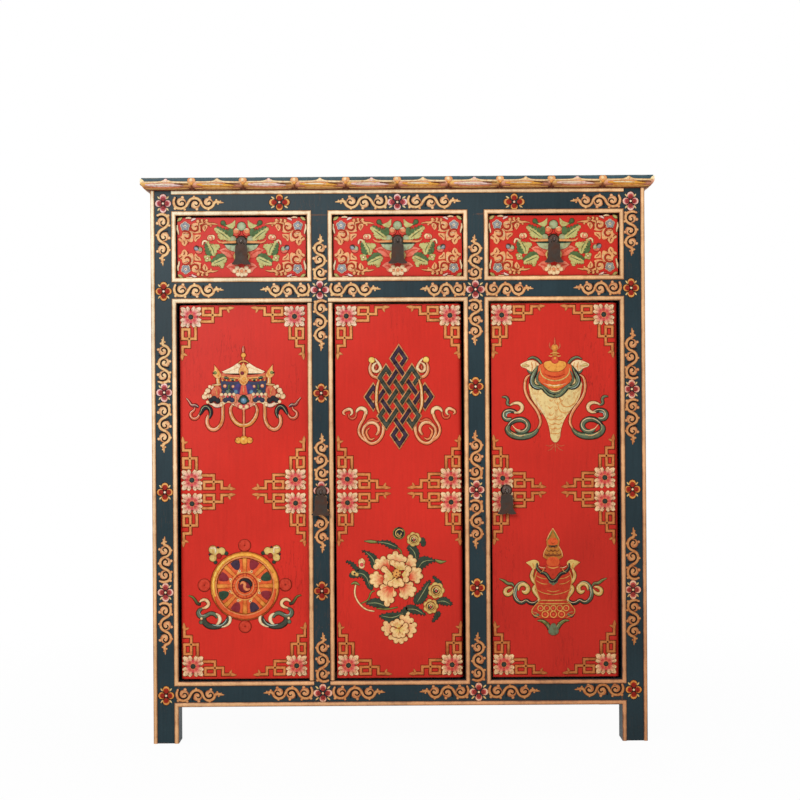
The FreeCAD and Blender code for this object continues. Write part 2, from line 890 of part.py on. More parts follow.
def plate_point(axis, share, sign):
    return axis + Vector(sign * share[0] * plate_width / 2, 0, -share[1] * plate_length)


def plate_side(axis, sign):
    """One side of the plate, from its neck down to its flared corner."""
    neck_top = plate_point(axis, (plate_neck_share[0], 0), sign)
    neck = plate_point(axis, plate_neck_share, sign)
    shoulder = plate_point(axis, plate_shoulder_share, sign)
    waist = plate_point(axis, plate_waist_share, sign)
    flare = plate_point(axis, plate_flare_share, sign)
    corner = plate_point(axis, plate_corner_share, sign)
    heel = plate_point(axis, plate_heel_share, sign)
    return [
        Part.makeLine(neck_top, neck),
        Part.makeLine(neck, shoulder),
        Part.makeLine(shoulder, waist),
        Part.Arc(waist, flare, corner).toShape(),
        Part.makeLine(corner, heel),
    ]


def plate_hem(axis):
    """The lower edge: two shallow lobes that meet in a cusp."""
    cusp = plate_point(axis, plate_cusp_share, 1)
    arcs = []
    for sign in (-1, 1):
        heel = plate_point(axis, plate_heel_share, sign)
        lobe = plate_point(axis, plate_lobe_share, sign)
        lobe = lobe + Vector(0, 0, -plate_lobe_drop)
        arcs.append(Part.Arc(heel, lobe, cusp).toShape())
    return arcs


def make_plate(x, z, face):
    """The hanging plate with its two ears and the pin between them, which hangs in the eye."""
    axis = hang_axis(x, z, face)
    back_side = Vector(0, plate_thickness / 2, 0)
    at = axis + back_side
    neck = [Part.makeLine(plate_point(at, (plate_neck_share[0], 0), -1),
                          plate_point(at, (plate_neck_share[0], 0), 1))]
    edges = neck + plate_side(at, 1) + plate_side(at, -1) + plate_hem(at)
    wire = Part.Wire(Part.__sortEdges__(edges))
    plate = Part.Face(wire).extrude(Vector(0, -plate_thickness, 0))
    ear_half = plate_neck_share[0] * plate_width / 2
    ears = forged_bar(plate_ear_radius, axis - Vector(ear_half, 0, 0), Vector(1, 0, 0), 2 * ear_half)
    slot_half = cotter_width / 2 + plate_ear_clearance
    slot_depth = eye_outer_radius + plate_eye_clearance
    slot = box(centred(axis.x, 2 * slot_half), centred(axis.y, 2 * plate_ear_radius + overrun),
               (axis.z - slot_depth, axis.z + plate_ear_radius + overrun))
    pin = cylinder(hang_pin_radius, axis - Vector(ear_half, 0, 0), Vector(1, 0, 0), 2 * ear_half)
    return fuse(cut(fuse(plate, ears), slot), pin)


def save_pull(name, x, z, face, thickness):
    save(name + "_pull_boss", make_boss(x, z, face), make_cotter(x, z, face, thickness))
    save(name + "_pull_plate", make_plate(x, z, face))


# Every node of the sideboard


def build_carcass():
    right_post = make_front_post()
    save("post_front_right", right_post)
    save("post_front_left", mirrored(right_post))
    rear_post = make_back_post()
    save("post_back_right", rear_post)
    save("post_back_left", mirrored(rear_post))
    save("top_rail", make_front_rail("top"))
    save("middle_rail", make_front_rail("middle"))
    save("bottom_rail", make_front_rail("bottom"))
    save("drawer_stiles", *make_drawer_stiles())
    save("door_stile", make_door_stile())
    side_rails = make_side_rails()
    save("side_rails_right", *side_rails)
    save("side_rails_left", *[mirrored(rail) for rail in side_rails])
    save("side_panel_right", make_side_panel())
    save("side_panel_left", mirrored(make_side_panel()))
    save("back_rails", *make_back_rails())
    save("back_boards", *make_back_boards())
    save("floor_board", make_floor())
    save("shelf_board", make_shelf())
    save("shelf_battens", *make_shelf_battens())
    save("drawer_runners", *make_runners())
    save("drawer_guides", *make_guides())
    save("drawer_kickers", *make_kickers())
    save("door_stops", *make_door_stops())
    save("top_board", make_top_board())
    save("top_edge_moulding", *make_edge_moulding())
    save("drawer_beads", *make_drawer_beads())
    save("door_beads", *make_door_beads())
    save("base_beads", *make_base_beads())
    save("cap_bead", make_cap_bead())
    save("corner_beads", *make_corner_beads())


def build_drawers():
    for bay, name in enumerate(bay_names):
        board, box_sides, panel = make_drawer(bay)
        save("drawer_" + name + "_front", board)
        save("drawer_" + name + "_sides", *box_sides)
        save("drawer_" + name + "_bottom", panel)
        face = front + drawer_recess
        save_pull("drawer_" + name, bay_centres[bay], pull_drawer_z(), face, drawer_front_thickness)


def build_doors():
    for bay, name in enumerate(bay_names):
        leaf = make_leaf(bay)
        if bay == bay_count - 1:
            pull_x = door_x(bay)[0] + pull_door_edge_offset
            leaf = cut(leaf, pull_hole(pull_x, pull_door_z(), door_y()[0], door_thickness))
            save_pull("door_" + name, pull_x, pull_door_z(), door_y()[0], door_thickness)
        save("door_" + name + "_leaf", leaf)
        save("door_" + name + "_battens", *make_door_battens(bay))
    save("door_left_meeting_stile", make_meeting_stile())
    save("door_left_meeting_beads", *make_meeting_beads())
    save_pull("door_left", sum(stile_x(0)) / 2, pull_door_z(), front, door_y()[1] - front)


os.makedirs(OUT, exist_ok=True)
build_carcass()
build_drawers()
build_doors()
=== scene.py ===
"""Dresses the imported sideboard: its painted ornament, its finishes and the studio round it."""

import math
from collections import namedtuple

import bmesh
import bpy
from bpy.props import FloatProperty, FloatVectorProperty, IntProperty, PointerProperty
from mathutils import Matrix, Vector


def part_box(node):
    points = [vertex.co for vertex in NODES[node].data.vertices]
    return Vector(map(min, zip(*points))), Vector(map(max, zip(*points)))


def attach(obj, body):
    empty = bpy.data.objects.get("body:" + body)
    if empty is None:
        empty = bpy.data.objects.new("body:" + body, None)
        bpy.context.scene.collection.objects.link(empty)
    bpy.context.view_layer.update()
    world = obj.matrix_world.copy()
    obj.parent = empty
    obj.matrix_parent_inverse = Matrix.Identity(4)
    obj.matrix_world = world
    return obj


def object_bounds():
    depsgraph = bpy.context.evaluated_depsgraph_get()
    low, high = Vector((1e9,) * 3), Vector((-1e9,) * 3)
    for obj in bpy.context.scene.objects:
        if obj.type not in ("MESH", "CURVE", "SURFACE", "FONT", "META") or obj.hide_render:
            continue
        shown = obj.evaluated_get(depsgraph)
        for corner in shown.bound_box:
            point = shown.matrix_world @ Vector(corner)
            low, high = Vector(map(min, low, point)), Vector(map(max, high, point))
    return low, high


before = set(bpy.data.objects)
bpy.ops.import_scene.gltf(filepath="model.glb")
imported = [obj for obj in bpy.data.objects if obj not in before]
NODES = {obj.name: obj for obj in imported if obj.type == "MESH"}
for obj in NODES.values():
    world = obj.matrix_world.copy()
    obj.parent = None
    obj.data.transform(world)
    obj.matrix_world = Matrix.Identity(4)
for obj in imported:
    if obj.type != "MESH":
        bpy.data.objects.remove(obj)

bl_info = {
    "name": "Painted sideboard",
    "version": (1, 0, 0),
    "blender": (4, 5, 0),
    "location": "View3D > Sidebar > Sideboard",
    "description": "Paints the packed sideboard and sets up its studio",
    "category": "Object",
}

MILLIMETRE = 0.001
CAD_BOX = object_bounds()
FRONT_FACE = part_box("top_rail")[0].y             # where the painted faces lie, in metres
DOOR_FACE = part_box("door_middle_leaf")[0].y
DRAWER_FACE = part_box("drawer_middle_front")[0].y
STILE_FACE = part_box("door_left_meeting_stile")[0].y


# Paints

PAINTS = {                     # colour at the shape's edge, colour on its crest
    "gilt": ("#B4682F", "#FFDA9E"),
    "curl": ("#C07A48", "#FFD8A4"),
    "umber": ("#140D0C", "#241814"),
    "fret": ("#B8642E", "#F4B26E"),
    "old_gilt": ("#A9642F", "#EDBE74"),
    "ochre": ("#D28438", "#F7BC74"),
    "honey": ("#DE9450", "#F2B680"),
    "amber": ("#D9812F", "#F6B45A"),
    "gold": ("#E0962E", "#FFC45E"),
    "yellow": ("#E8B84A", "#FFE88A"),
    "cream": ("#E2B27C", "#FFE9C4"),
    "straw": ("#BE9A54", "#EBD48E"),
    "shell": ("#D6B878", "#F2E0AC"),
    "petal": ("#E8B47E", "#FFE6B8"),
    "biscuit": ("#DC8A50", "#F7C08C"),
    "blush": ("#E0705A", "#EE8A74"),
    "flame": ("#CC4A2C", "#E8683A"),
    "haze": ("#C03A2A", "#D84836"),
    "tile": ("#A82E1E", "#CA3E2A"),
    "white": ("#E0C4A0", "#FFF6E0"),
    "peach": ("#D2603A", "#F3A878"),
    "salmon": ("#B8442F", "#DE7354"),
    "pink": ("#C83648", "#E8606A"),
    "plum": ("#2C2450", "#4A4080"),
    "tip": ("#FFCDA0", "#FFF2DC"),
    "rose": ("#B84450", "#D8686E"),
    "crimson": ("#6E1C24", "#A03C3E"),
    "bloom": ("#ECAEA8", "#FCE4DE"),
    "coral": ("#C83226", "#E8604A"),
    "ember": ("#7E1A12", "#A5281C"),
    "wine": ("#4C1018", "#8A2C3C"),
    "brick": ("#7A1A10", "#C8381E"),
    "ink": ("#14161C", "#262830"),
    "navy": ("#1C2030", "#39405E"),
    "mist": ("#566072", "#A4ACB4"),
    "rim": ("#EDA870", "#F9C898"),
    "bronze": ("#7E4C20", "#C4843C"),
    "violet": ("#2A1C2C", "#40304A"),
    "slate": ("#28302E", "#47504A"),
    "teal": ("#34463E", "#6E8474"),
    "sage": ("#74885E", "#B8C6A0"),
    "lime": ("#A49A54", "#CBC884"),
    "blue": ("#2B4A6C", "#6C9CBC"),
    "sky": ("#5A86A0", "#C4DCE0"),
    "pine": ("#12241E", "#2C4A3C"),
    "spruce": ("#18221E", "#33463E"),
    "green": ("#304A2A", "#547246"),
    "leaf": ("#4A6A40", "#8CA068"),
    "moss": ("#4A5A34", "#8C9A54"),
    "brown": ("#5A2A18", "#8A4A2A"),
}


def linear(code):
    """A colour written as #RRGGBB, as the linear values that shaders and attributes hold."""
    channels = (int(code[i:i + 2], 16) / 255 for i in (1, 3, 5))
    return tuple(c / 12.92 if c <= 0.04045 else ((c + 0.055) / 1.055) ** 2.4 for c in channels)


def blended(one, two, share):
    """The first values gone the given share of the way to the second."""
    return tuple(a + (b - a) * share for a, b in zip(one, two))


# Shapes of the ornament: u runs across and v up, in millimetres, with r a line's half width

Shape = namedtuple("Shape", "kind paint points level closed grow", defaults=(False, 0))
RING_POINTS = 10
ARC_STEP = 30                                    # degrees between the points of an arc
ARC_TAPER = 0.4                                  # share of its width that an arc has at its ends


def line(paint, *points, level=0):
    """A brush line through (u, v, r) points. A paint written one>other changes along it."""
    return Shape("line", paint, points, level)


def strokes(paint, level, *lines):
    """Brush lines of one paint on one level."""
    return tuple(line(paint, *points, level=level) for points in lines)


def arc(paint, radius, width, start, end, level=0, centre=(0, 0)):
    """A line round a centre, from one angle to another in degrees, or a whole ring."""
    whole = end - start >= 360
    count = RING_POINTS if whole else max(3, round((end - start) / ARC_STEP) + 1)
    last = count if whole else count - 1
    points = []
    for i in range(count):
        angle = math.radians(start + (end - start) * i / last)
        taper = 1.0 if whole or 0 < i < last else ARC_TAPER
        points.append((centre[0] + radius * math.cos(angle),
                       centre[1] + radius * math.sin(angle), width * taper))
    return Shape("line", paint, points, level, whole)


def ring(paint, radius, width, level=0, centre=(0, 0)):
    """A line all the way round a centre."""
    return arc(paint, radius, width, 0, 360, level, centre)


def disc(paint, *points, level=0):
    """Round dabs of the brush at (u, v, r) points."""
    return Shape("disc", paint, points, level)


def area(paint, *points, level=0):
    """A filled outline through (u, v) points, smooth except at those written (u, v, 0)."""
    return Shape("area", paint, points, level, True)


def bars(paint, width, *points, level=0):
    """A straight-cornered line of one half width."""
    return Shape("bars", paint, [(u, v, width) for u, v in points], level)


def flipped(shapes, across=False, up=True):
    """The shapes turned over from top to bottom, from side to side, or both."""
    sign_u, sign_v = (-1 if across else 1), (-1 if up else 1)
    return tuple(s._replace(points=[(p[0] * sign_u, p[1] * sign_v) + tuple(p[2:])
                                    for p in s.points]) for s in shapes)


def mirrored(shapes):
    """The shapes, and the same shapes turned over from side to side."""
    return tuple(shapes) + flipped(shapes, across=True, up=False)


def doubled(shapes):
    """The shapes, and the same shapes turned over from top to bottom."""
    return tuple(shapes) + flipped(shapes)


def quartered(shapes):
    """The shapes in each of the four quarters round the centre."""
    return doubled(mirrored(shapes))


def moved(shapes, u, v, scale=1, angle=0, up=0):
    """The shapes at another place, in another size, turned by degrees and lifted by levels."""
    c, s = math.cos(math.radians(angle)) * scale, math.sin(math.radians(angle)) * scale
    return tuple(shape._replace(level=shape.level + up, points=[
        (u + p[0] * c - p[1] * s, v + p[0] * s + p[1] * c) + tuple(r * scale for r in p[2:])
        for p in shape.points]) for shape in shapes)


def turned(shapes, count, start=0):
    """The shapes repeated round the centre, the first of them turned by start degrees."""
    return tuple(shape for i in range(count)
                 for shape in moved(shapes, 0, 0, angle=start + 360 * i / count))


def outlined(shapes, paint="ember", grow=0.9):
    """The shapes one coat higher, each over a dark copy of itself that is a little wider."""
    under = tuple(s._replace(paint=paint, grow=grow) for s in shapes)
    return under + tuple(s._replace(level=s.level + 1) for s in shapes)


DARK_PAINTS = ("ink", "teal", "slate", "pine", "navy", "moss", "green", "teal>moss")
BROAD_STROKE = 2.7                               # half width from which a stroke is lit
LIGHT_SHIFT, LIGHT_WIDTH = 0.34, 0.17            # of the pale line, as shares of the half width
LIGHT_LEAST, LIGHT_LEVEL = 0.3, 0.7              # its least half width, its coats over the stroke


def lit(shapes):
    """The shapes, with a thin pale line along the upper left of each broad stroke."""
    made = tuple(shapes)
    for shape in shapes:
        broad = max(p[2] for p in shape.points) if shape.kind == "line" else 0
        if broad > BROAD_STROKE and not shape.grow and not shape.closed:
            pale = "sage" if shape.paint in DARK_PAINTS else "white"
            made += (shape._replace(paint=pale, level=shape.level + LIGHT_LEVEL, points=[
                (u - r * LIGHT_SHIFT, v + r * LIGHT_SHIFT, max(LIGHT_LEAST, r * LIGHT_WIDTH))
                for u, v, r in shape.points]),)
    return made


# How narrow the pale crest of each kind of shape is
CREST_SHARPNESS = {"line": 1.5, "disc": 1.1, "bars": 0.6, "area": 0.0}
DAB_SEGMENTS, DAB_RINGS = 10, 6
AREA_EDGE = 0.5                                  # millimetres of slope round a filled outline
MERGE_DISTANCE = 1e-4
# An area that changes colour has its longer edges split in rounds. Its second colour comes, with
# this speed and after this delay, on the way from its first point to its furthest.
FLUSH_STEP, FLUSH_ROUNDS = 5.0, 3
FLUSH_SPEED, FLUSH_DELAY = 2.2, 0.9


def upright(face):
    """Puts shapes, by their u, v and height, on an upright face that looks to the front."""
    return lambda point: Vector((point.x, face / MILLIMETRE - point.z, point.y)) * MILLIMETRE


class Painting:
    """One painted piece: its shapes lie on a face of the sideboard, gathered in one mesh."""

    def __init__(self, name, place, coats=1):
        self.name, self.place, self.coats = name, place, coats
        self.mesh = bmesh.new()
        self.settings = bpy.context.scene.sideboard_paint

    def dabs(self, shape):
        """Round dabs as a mesh in their own plane, domed over z."""
        made = bmesh.new()
        for u, v, r in shape.points:
            r += shape.grow
            place = Matrix.Translation((u, v, 0)) @ Matrix.Diagonal((r, r, 1, 1))
            bmesh.ops.create_uvsphere(made, u_segments=DAB_SEGMENTS, v_segments=DAB_RINGS,
                                      radius=1, matrix=place)
        return made

    def outline(self, shape):
        """A line, bars or an area as a curve with its thickness."""
        curve = bpy.data.curves.new(self.name, "CURVE")
        curve.dimensions = "3D" if shape.kind == "line" else "2D"
        curve.fill_mode = {"line": "FULL", "bars": "NONE", "area": "BOTH"}[shape.kind]
        curve.use_fill_caps = True
        curve.resolution_u = self.settings.curve_steps
        if shape.kind == "area":
            curve.bevel_depth, curve.bevel_resolution = AREA_EDGE, 0
            curve.offset, curve.extrude = shape.grow - AREA_EDGE, AREA_EDGE
        else:
            curve.bevel_depth, curve.bevel_resolution = 1, 1
        if shape.kind == "bars":
            curve.bevel_depth = shape.points[0][2] + shape.grow
            spline = curve.splines.new("POLY")
            spline.points.add(len(shape.points) - 1)
            for point, (u, v, _) in zip(spline.points, shape.points):
                point.co = (u, v, 0, 1)
        else:
            spline = curve.splines.new("BEZIER")
            spline.bezier_points.add(len(shape.points) - 1)
            for point, place in zip(spline.bezier_points, shape.points):
                point.co = (place[0], place[1], 0)
                corner = shape.kind == "area" and len(place) == 3
                point.handle_left_type = point.handle_right_type = "VECTOR" if corner else "AUTO"
                if shape.kind == "line":
                    point.radius = place[2] + shape.grow
        spline.use_cyclic_u = shape.closed
        return curve

    def relief(self, shape):
        """The shape as a mesh in its own plane, round over z."""
        if shape.kind == "disc":
            return self.dabs(shape)
        made = bmesh.new()
        curve = self.outline(shape)
        holder = bpy.data.objects.new(self.name, curve)
        mesh = bpy.data.meshes.new_from_object(holder)
        made.from_mesh(mesh)
        bmesh.ops.remove_doubles(made, verts=made.verts, dist=MERGE_DISTANCE)
        if shape.kind == "area" and ">" in shape.paint:
            for _ in range(FLUSH_ROUNDS):
                bmesh.ops.triangulate(made, faces=made.faces)
                long = [edge for edge in made.edges if edge.calc_length() > FLUSH_STEP]
                bmesh.ops.subdivide_edges(made, edges=long, cuts=1)
        bpy.data.objects.remove(holder)
        bpy.data.curves.remove(curve)
        bpy.data.meshes.remove(mesh)
        return made

    def colour(self, made, shape):
        """Gives each vertex its paint: pale along the crest, and changing where two are named."""
        paint = made.verts.layers.float_color.new("paint")
        names = shape.paint.split(">")
        first, last = ([linear(c) for c in PAINTS[name]] for name in (names[0], names[-1]))
        start, end = Vector(shape.points[0][:2]), Vector(shape.points[-1][:2])
        run = end - start
        reach = max((vert.co.xy - start).length for vert in made.verts)
        for vert in made.verts:
            round_to = vert.co.z if shape.kind == "disc" else vert.normal.z
            crest = max(0.0, round_to) ** CREST_SHARPNESS[shape.kind]
            share = 0.0
            if len(names) > 1:
                if shape.kind == "area":
                    share = (vert.co.xy - start).length / reach * FLUSH_SPEED - FLUSH_DELAY
                else:
                    share = (vert.co.xy - start).dot(run) / run.length_squared
            colour = blended(blended(*first, crest), blended(*last, crest),
                             min(1.0, max(0.0, share)))
            vert[paint] = (*colour, 1.0)

    def add(self, shape):
        """Colours the shape, lays it on its face at its level, and joins it to the piece."""
        made = self.relief(shape)
        made.normal_update()
        self.colour(made, shape)
        high = max(vert.co.z for vert in made.verts)
        step = self.settings.coat_height / MILLIMETRE * self.coats
        for vert in made.verts:
            u, v, height = vert.co
            vert.co = self.place(Vector((u, v, (height / high + shape.level) * step)))
        mesh = bpy.data.meshes.new(self.name)
        made.to_mesh(mesh)
        made.free()
        self.mesh.from_mesh(mesh)
        bpy.data.meshes.remove(mesh)

    def stamp(self, shapes, x, z, angle=0, scale=1):
        """Paints the shapes with their centre at x, z, turned by degrees."""
        for shape in moved(shapes, x, z, scale, angle):
            self.add(shape)

    def finish(self, material, body):
        """Makes the painting an object that rides on its body."""
        mesh = bpy.data.meshes.new(self.name)
        self.mesh.to_mesh(mesh)
        self.mesh.free()
        mesh.shade_smooth()
        mesh.materials.append(material)
        piece = bpy.data.objects.new(self.name, mesh)
        bpy.context.scene.collection.objects.link(piece)
        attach(piece, body)


# The carved edge, in millimetres: an arc from the frame's face out to a lip, then a short brow

EDGE_LOW = 1076
EDGE_RISE = 14                                   # to the fillet over it
LIP_RISE = 0.82 * EDGE_RISE
BULGE_OUT, BULGE_UP = 0.78, 0.42                 # the arc's middle, as shares of reach and rise
LIP_RUN = 24                                     # v of a shape that lies on the lip
BODY_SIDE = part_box("post_front_right")[1].x / MILLIMETRE
BODY_FRONT = -FRONT_FACE / MILLIMETRE
SIDE_REACH = CAD_BOX[1].x / MILLIMETRE - BODY_SIDE
FRONT_REACH = -CAD_BOX[0].y / MILLIMETRE - BODY_FRONT


def edge_arc(reach):
    """Centre, radius and end angles of the arc through the edge's root, bulge and lip."""
    ax, ay = BULGE_OUT * reach, BULGE_UP * EDGE_RISE
    bx, by = reach, LIP_RISE
    twice = 2 * (ax * by - ay * bx)
    far_a, far_b = ax * ax + ay * ay, bx * bx + by * by
    cx, cy = (by * far_a - ay * far_b) / twice, (ax * far_b - bx * far_a) / twice
    return cx, cy, math.hypot(cx, cy), math.atan2(-cy, -cx), math.atan2(by - cy, bx - cx)


def carved_edge(way):
    """Puts shapes on the carved edge of the front (0), of the right side (1) or the left (-1)."""
    reach = SIDE_REACH if way else FRONT_REACH
    cx, cy, radius, first, last = edge_arc(reach)

    def place(point):
        along, v, height = point
        if v < LIP_RUN:
            angle = first + (last - first) * v / LIP_RUN
            out = cx + (radius + height) * math.cos(angle)
            up = cy + (radius + height) * math.sin(angle)
        else:
            out, up = reach + height, LIP_RISE + v - LIP_RUN
        if way:
            limit = BODY_FRONT + out * FRONT_REACH / SIDE_REACH
            spot = (way * (BODY_SIDE + out), max(-limit, way * along), EDGE_LOW + up)
        else:
            limit = BODY_SIDE + out * SIDE_REACH / FRONT_REACH
            spot = (max(-limit, min(limit, along)), -BODY_FRONT - out, EDGE_LOW + up)
        return Vector(spot) * MILLIMETRE
    return place


# Motifs

PETAL_LENGTH = 100


def edge_petal(skin, fold, tip):
    """A petal of the carved edge, PETAL_LENGTH long: folds, a painted highlight on its cheek, a rim
    and a tip.
    """
    return (
        # The brown line along the foot is painted shade under the bulge
        line("brown", (3, 5, 2.6), (30, 5, 4.2), (50, 4.8, 4.6), (70, 5, 4.2), (97, 5, 2.6)),
        line("old_gilt", (6, 11, 1.8), (28, 10.6, 3), (50, 10.4, 3.3), (72, 10.6, 3),
             (94, 11, 1.8)),
        line(fold, (20, 15, 1.4), (50, 14.2, 2.4), (80, 15, 1.4), level=0.5),
        line(skin, (10, 21.6, 1.8), (24, 20.6, 3.6), (46, 20, 4.4), (66, 20.2, 3.6),
             (84, 19, 1.2), level=0.6),
        # Painted highlight on the cheek
        line("white", (20, 22.6, 0.7), (34, 22.4, 1.6), (52, 22, 1.4), (62, 21.4, 0.6), level=1.5),
        line("brown", (66, 23.6, 0.4), (80, 22.6, 0.9), (94, 22.4, 0.6), level=1.2),
        line("petal", (4, 26.6, 1.3), (24, 26.2, 1.6), (40, 26.8, 1.8), (50, 29, 2),
             (60, 26.8, 1.8), (76, 25.6, 2.2), (96, 26, 1.4), level=0.5),
        disc(tip, (50, 29.4, 4), (45.4, 28, 2.6), (54.6, 28, 2.6), level=0.4),
    )


EDGE_PETALS = (edge_petal("bloom", "peach", "bloom"), edge_petal("gold", "ochre", "petal"))
EDGE_KNOB = (
    line("brown", (0, 5, 0.8), (0, 13, 1.3), (0, 20, 0.6), level=0.9),
    disc("honey", (-2.6, 29.2, 5.4), (2.6, 29.2, 5.4), level=0.6),
    disc("petal", (-0.8, 30.2, 3.6), level=1.2), disc("amber", (0, 23.4, 3.2), level=0.5),
)
SCROLL = (                                       # outwards from the flower
    disc("curl", (17.8, 1.8, 10.6), (46.2, -1.6, 10.6), (72, 1.6, 10.2)),
    line("gilt", (5, 11.4, 2.4), (2.8, 5.4, 3), (3.6, -2, 3.2), (7.4, -8, 3.4), (14.6, -10.4, 3.4),
         (22.4, -9.4, 3.3), (28.6, -4.2, 3.3), (32.8, 3.2, 3.3), (38, 8.8, 3.3), (45.6, 10.6, 3.4),
         (52.8, 8.2, 3.3), (57.2, 2, 3.3), (61.6, -5.6, 3.3), (68, -10, 3.4), (76, -9.6, 3.3),
         (81.8, -4.6, 3.3), (84.4, 1, 3.5), (89, 3, 3.6), (95.4, 1.8, 2.6), (103.4, 1, 0.8),
         level=0.8),
    disc("gilt", (5.4, -10.6, 3), (24.8, -12.6, 2.8), (43.6, 13.6, 2.6), (72.4, -12.6, 2.7),
         (88.4, 6.8, 2.2), (91.6, -1.4, 2.1), (96.6, 4.2, 1.6), level=0.8),
    disc("curl", (20.4, 12.4, 3.4), (49.2, -12, 3.3), (75, 12, 3.1), (5, 11.4, 2.6), level=0.8),
    *strokes("umber", 1.9, ((8.4, 13.4, 1.2), (7.6, 6, 1.5), (8, 0, 1.6), (11.8, -4.8, 1.6),
              (18, -6.2, 1.6), (23.6, -3.4, 1.6), (24.4, 1.6, 1.5), (20.8, 4.6, 1.4),
              (16.6, 3.4, 1.2), (15.6, 1, 0.9)),
             ((35.4, -10, 1.2), (36.6, -3.4, 1.5), (38.2, 2.4, 1.6), (42.4, 6.2, 1.6),
              (48, 5.8, 1.6), (52, 2, 1.5), (51.4, -2.8, 1.4), (47.4, -4.4, 1.2),
              (44.8, -1.8, 0.9)),
             ((61.8, 11, 1.2), (61.6, 4.4, 1.5), (63.4, -2.4, 1.6), (68.6, -5.8, 1.6),
              (74.6, -5, 1.6), (78.2, -1, 1.5), (77.2, 3.6, 1.4), (73, 4.6, 1.2),
              (70.6, 1.8, 0.9))),
)
SCROLL_WIDTH = 0.94                              # share of the width drawn above


def rosette(rim, skin, heart, across, up):
    """A small four-petalled flower, pale at the rim and dark by the heart, with short leaves."""
    leaf = line("shell", (across * 0.74, up * 0.74, 1), (across * 0.98, up * 0.98, 1.9),
                (across * 1.22, up * 1.2, 0.8))
    made = quartered((leaf,))
    for u, v in ((across, 0), (-across, 0), (0, up), (0, -up)):
        made += (disc("umber", (u * 1.02, v * 1.02, 8)),
                 disc(rim, (u * 1.02, v * 1.02, 7), level=1),
                 disc(skin, (u * 0.82, v * 0.82, 5.3), level=2),
                 disc(heart, (u * 0.66, v * 0.66, 4), level=3))
    return made + (disc("umber", (0, 0, 3.6), level=4), disc("white", (0, 0, 2.3), level=5))


PINK_PETALS = ("bloom", "rose", "crimson")
RED_PETALS = ("ochre", "brick", "ember")
# How far a rosette's petals reach across and up
POST_REACH, STILE_REACH, RAIL_REACH = (8.8, 11.6), (11.6, 11.2), (13.2, 9.2)
ROSETTES = (                                     # x, z, petals, reach
    *[(-456, z, petals, POST_REACH) for z, petals in (
        (1051, PINK_PETALS), (880, RED_PETALS), (683, PINK_PETALS), (489, RED_PETALS),
        (294, PINK_PETALS), (93, RED_PETALS))],
    *[(454, z, petals, POST_REACH) for z, petals in (
        (1050, PINK_PETALS), (881, RED_PETALS), (684, PINK_PETALS), (489, RED_PETALS),
        (293.5, PINK_PETALS), (99, RED_PETALS))],
    (-229.5, 1052, RED_PETALS, RAIL_REACH), (0, 1051, PINK_PETALS, RAIL_REACH),
    (227.5, 1050, RED_PETALS, RAIL_REACH),
    (-152, 881, PINK_PETALS, STILE_REACH), (151, 880, PINK_PETALS, STILE_REACH),
    (-151, 96, PINK_PETALS, STILE_REACH), (152.5, 96.5, PINK_PETALS, STILE_REACH),
    (150, 691, RED_PETALS, POST_REACH), (150.5, 490, PINK_PETALS, POST_REACH),
    (150.5, 299, RED_PETALS, POST_REACH),
)
STILE_ROSETTES = ((-150.5, 680, RED_PETALS, POST_REACH), (-151.5, 490, PINK_PETALS, POST_REACH),
                  (-151.5, 295, RED_PETALS, POST_REACH))

CORNER_FLOWER = outlined(quartered((
    *strokes("tip", 0, ((3, 2, 2.6), (11, 4.6, 4.2), (16.5, 6, 4.4), (20.4, 6.6, 2)),
             ((2, 3, 2.6), (4.6, 11, 4.2), (6, 16.5, 4.4), (6.6, 20.4, 2))),
)), "tile", 0.6) + outlined(quartered((
    line("tip", (3, 3, 2.8), (10, 10, 5.2), (14.8, 14.6, 5.6), (18.8, 18.4, 2.4), level=1),
)), "tile", 0.6) + (disc("pink", (0, 0, 13.6), level=3.4),) + quartered((
    *strokes("pink>tip", 3.6, ((8, 3, 1.8), (12, 5, 3.4), (17.4, 6.2, 1.4)),
             ((3, 8, 1.8), (5, 12, 3.4), (6.2, 17.4, 1.4))),
    line("pink>tip", (7, 7, 2), (10.6, 10.6, 4.2), (15.4, 15, 1.6), level=3.8),
    *strokes("blush", 4.6, ((3, 1.4, 0.6), (7, 3, 1), (11, 4.6, 0.4)),
             ((1.4, 3, 0.6), (3, 7, 1), (4.6, 11, 0.4))),
)) + (
    disc("blush", (0, 0, 7.4), level=4.4),
    disc("ink", (0, 0, 5.4), level=5),
    disc("spruce", (0, 0, 4.4), level=5.6),
)

FRET_RUN = ((19, -9), (42.5, -9), (42.5, 16.5), (24, 16.5), (24, 3.5), (42.5, 3.5), (58, 3.5),
            (58, 16.5))                          # along u from a corner flower
FRET = (
    bars("ember", 3.9, *FRET_RUN, (76, 16.5)),
    bars("fret", 3.1, *FRET_RUN, (74, 16.5), level=1),
    *strokes("fret", 1, ((71, 16.5, 3.1), (77, 17, 4.2), (85, 17.6, 1)),
             ((72, 15, 3), (73.5, 11, 2.6), (75, 7.5, 0.9))),
)


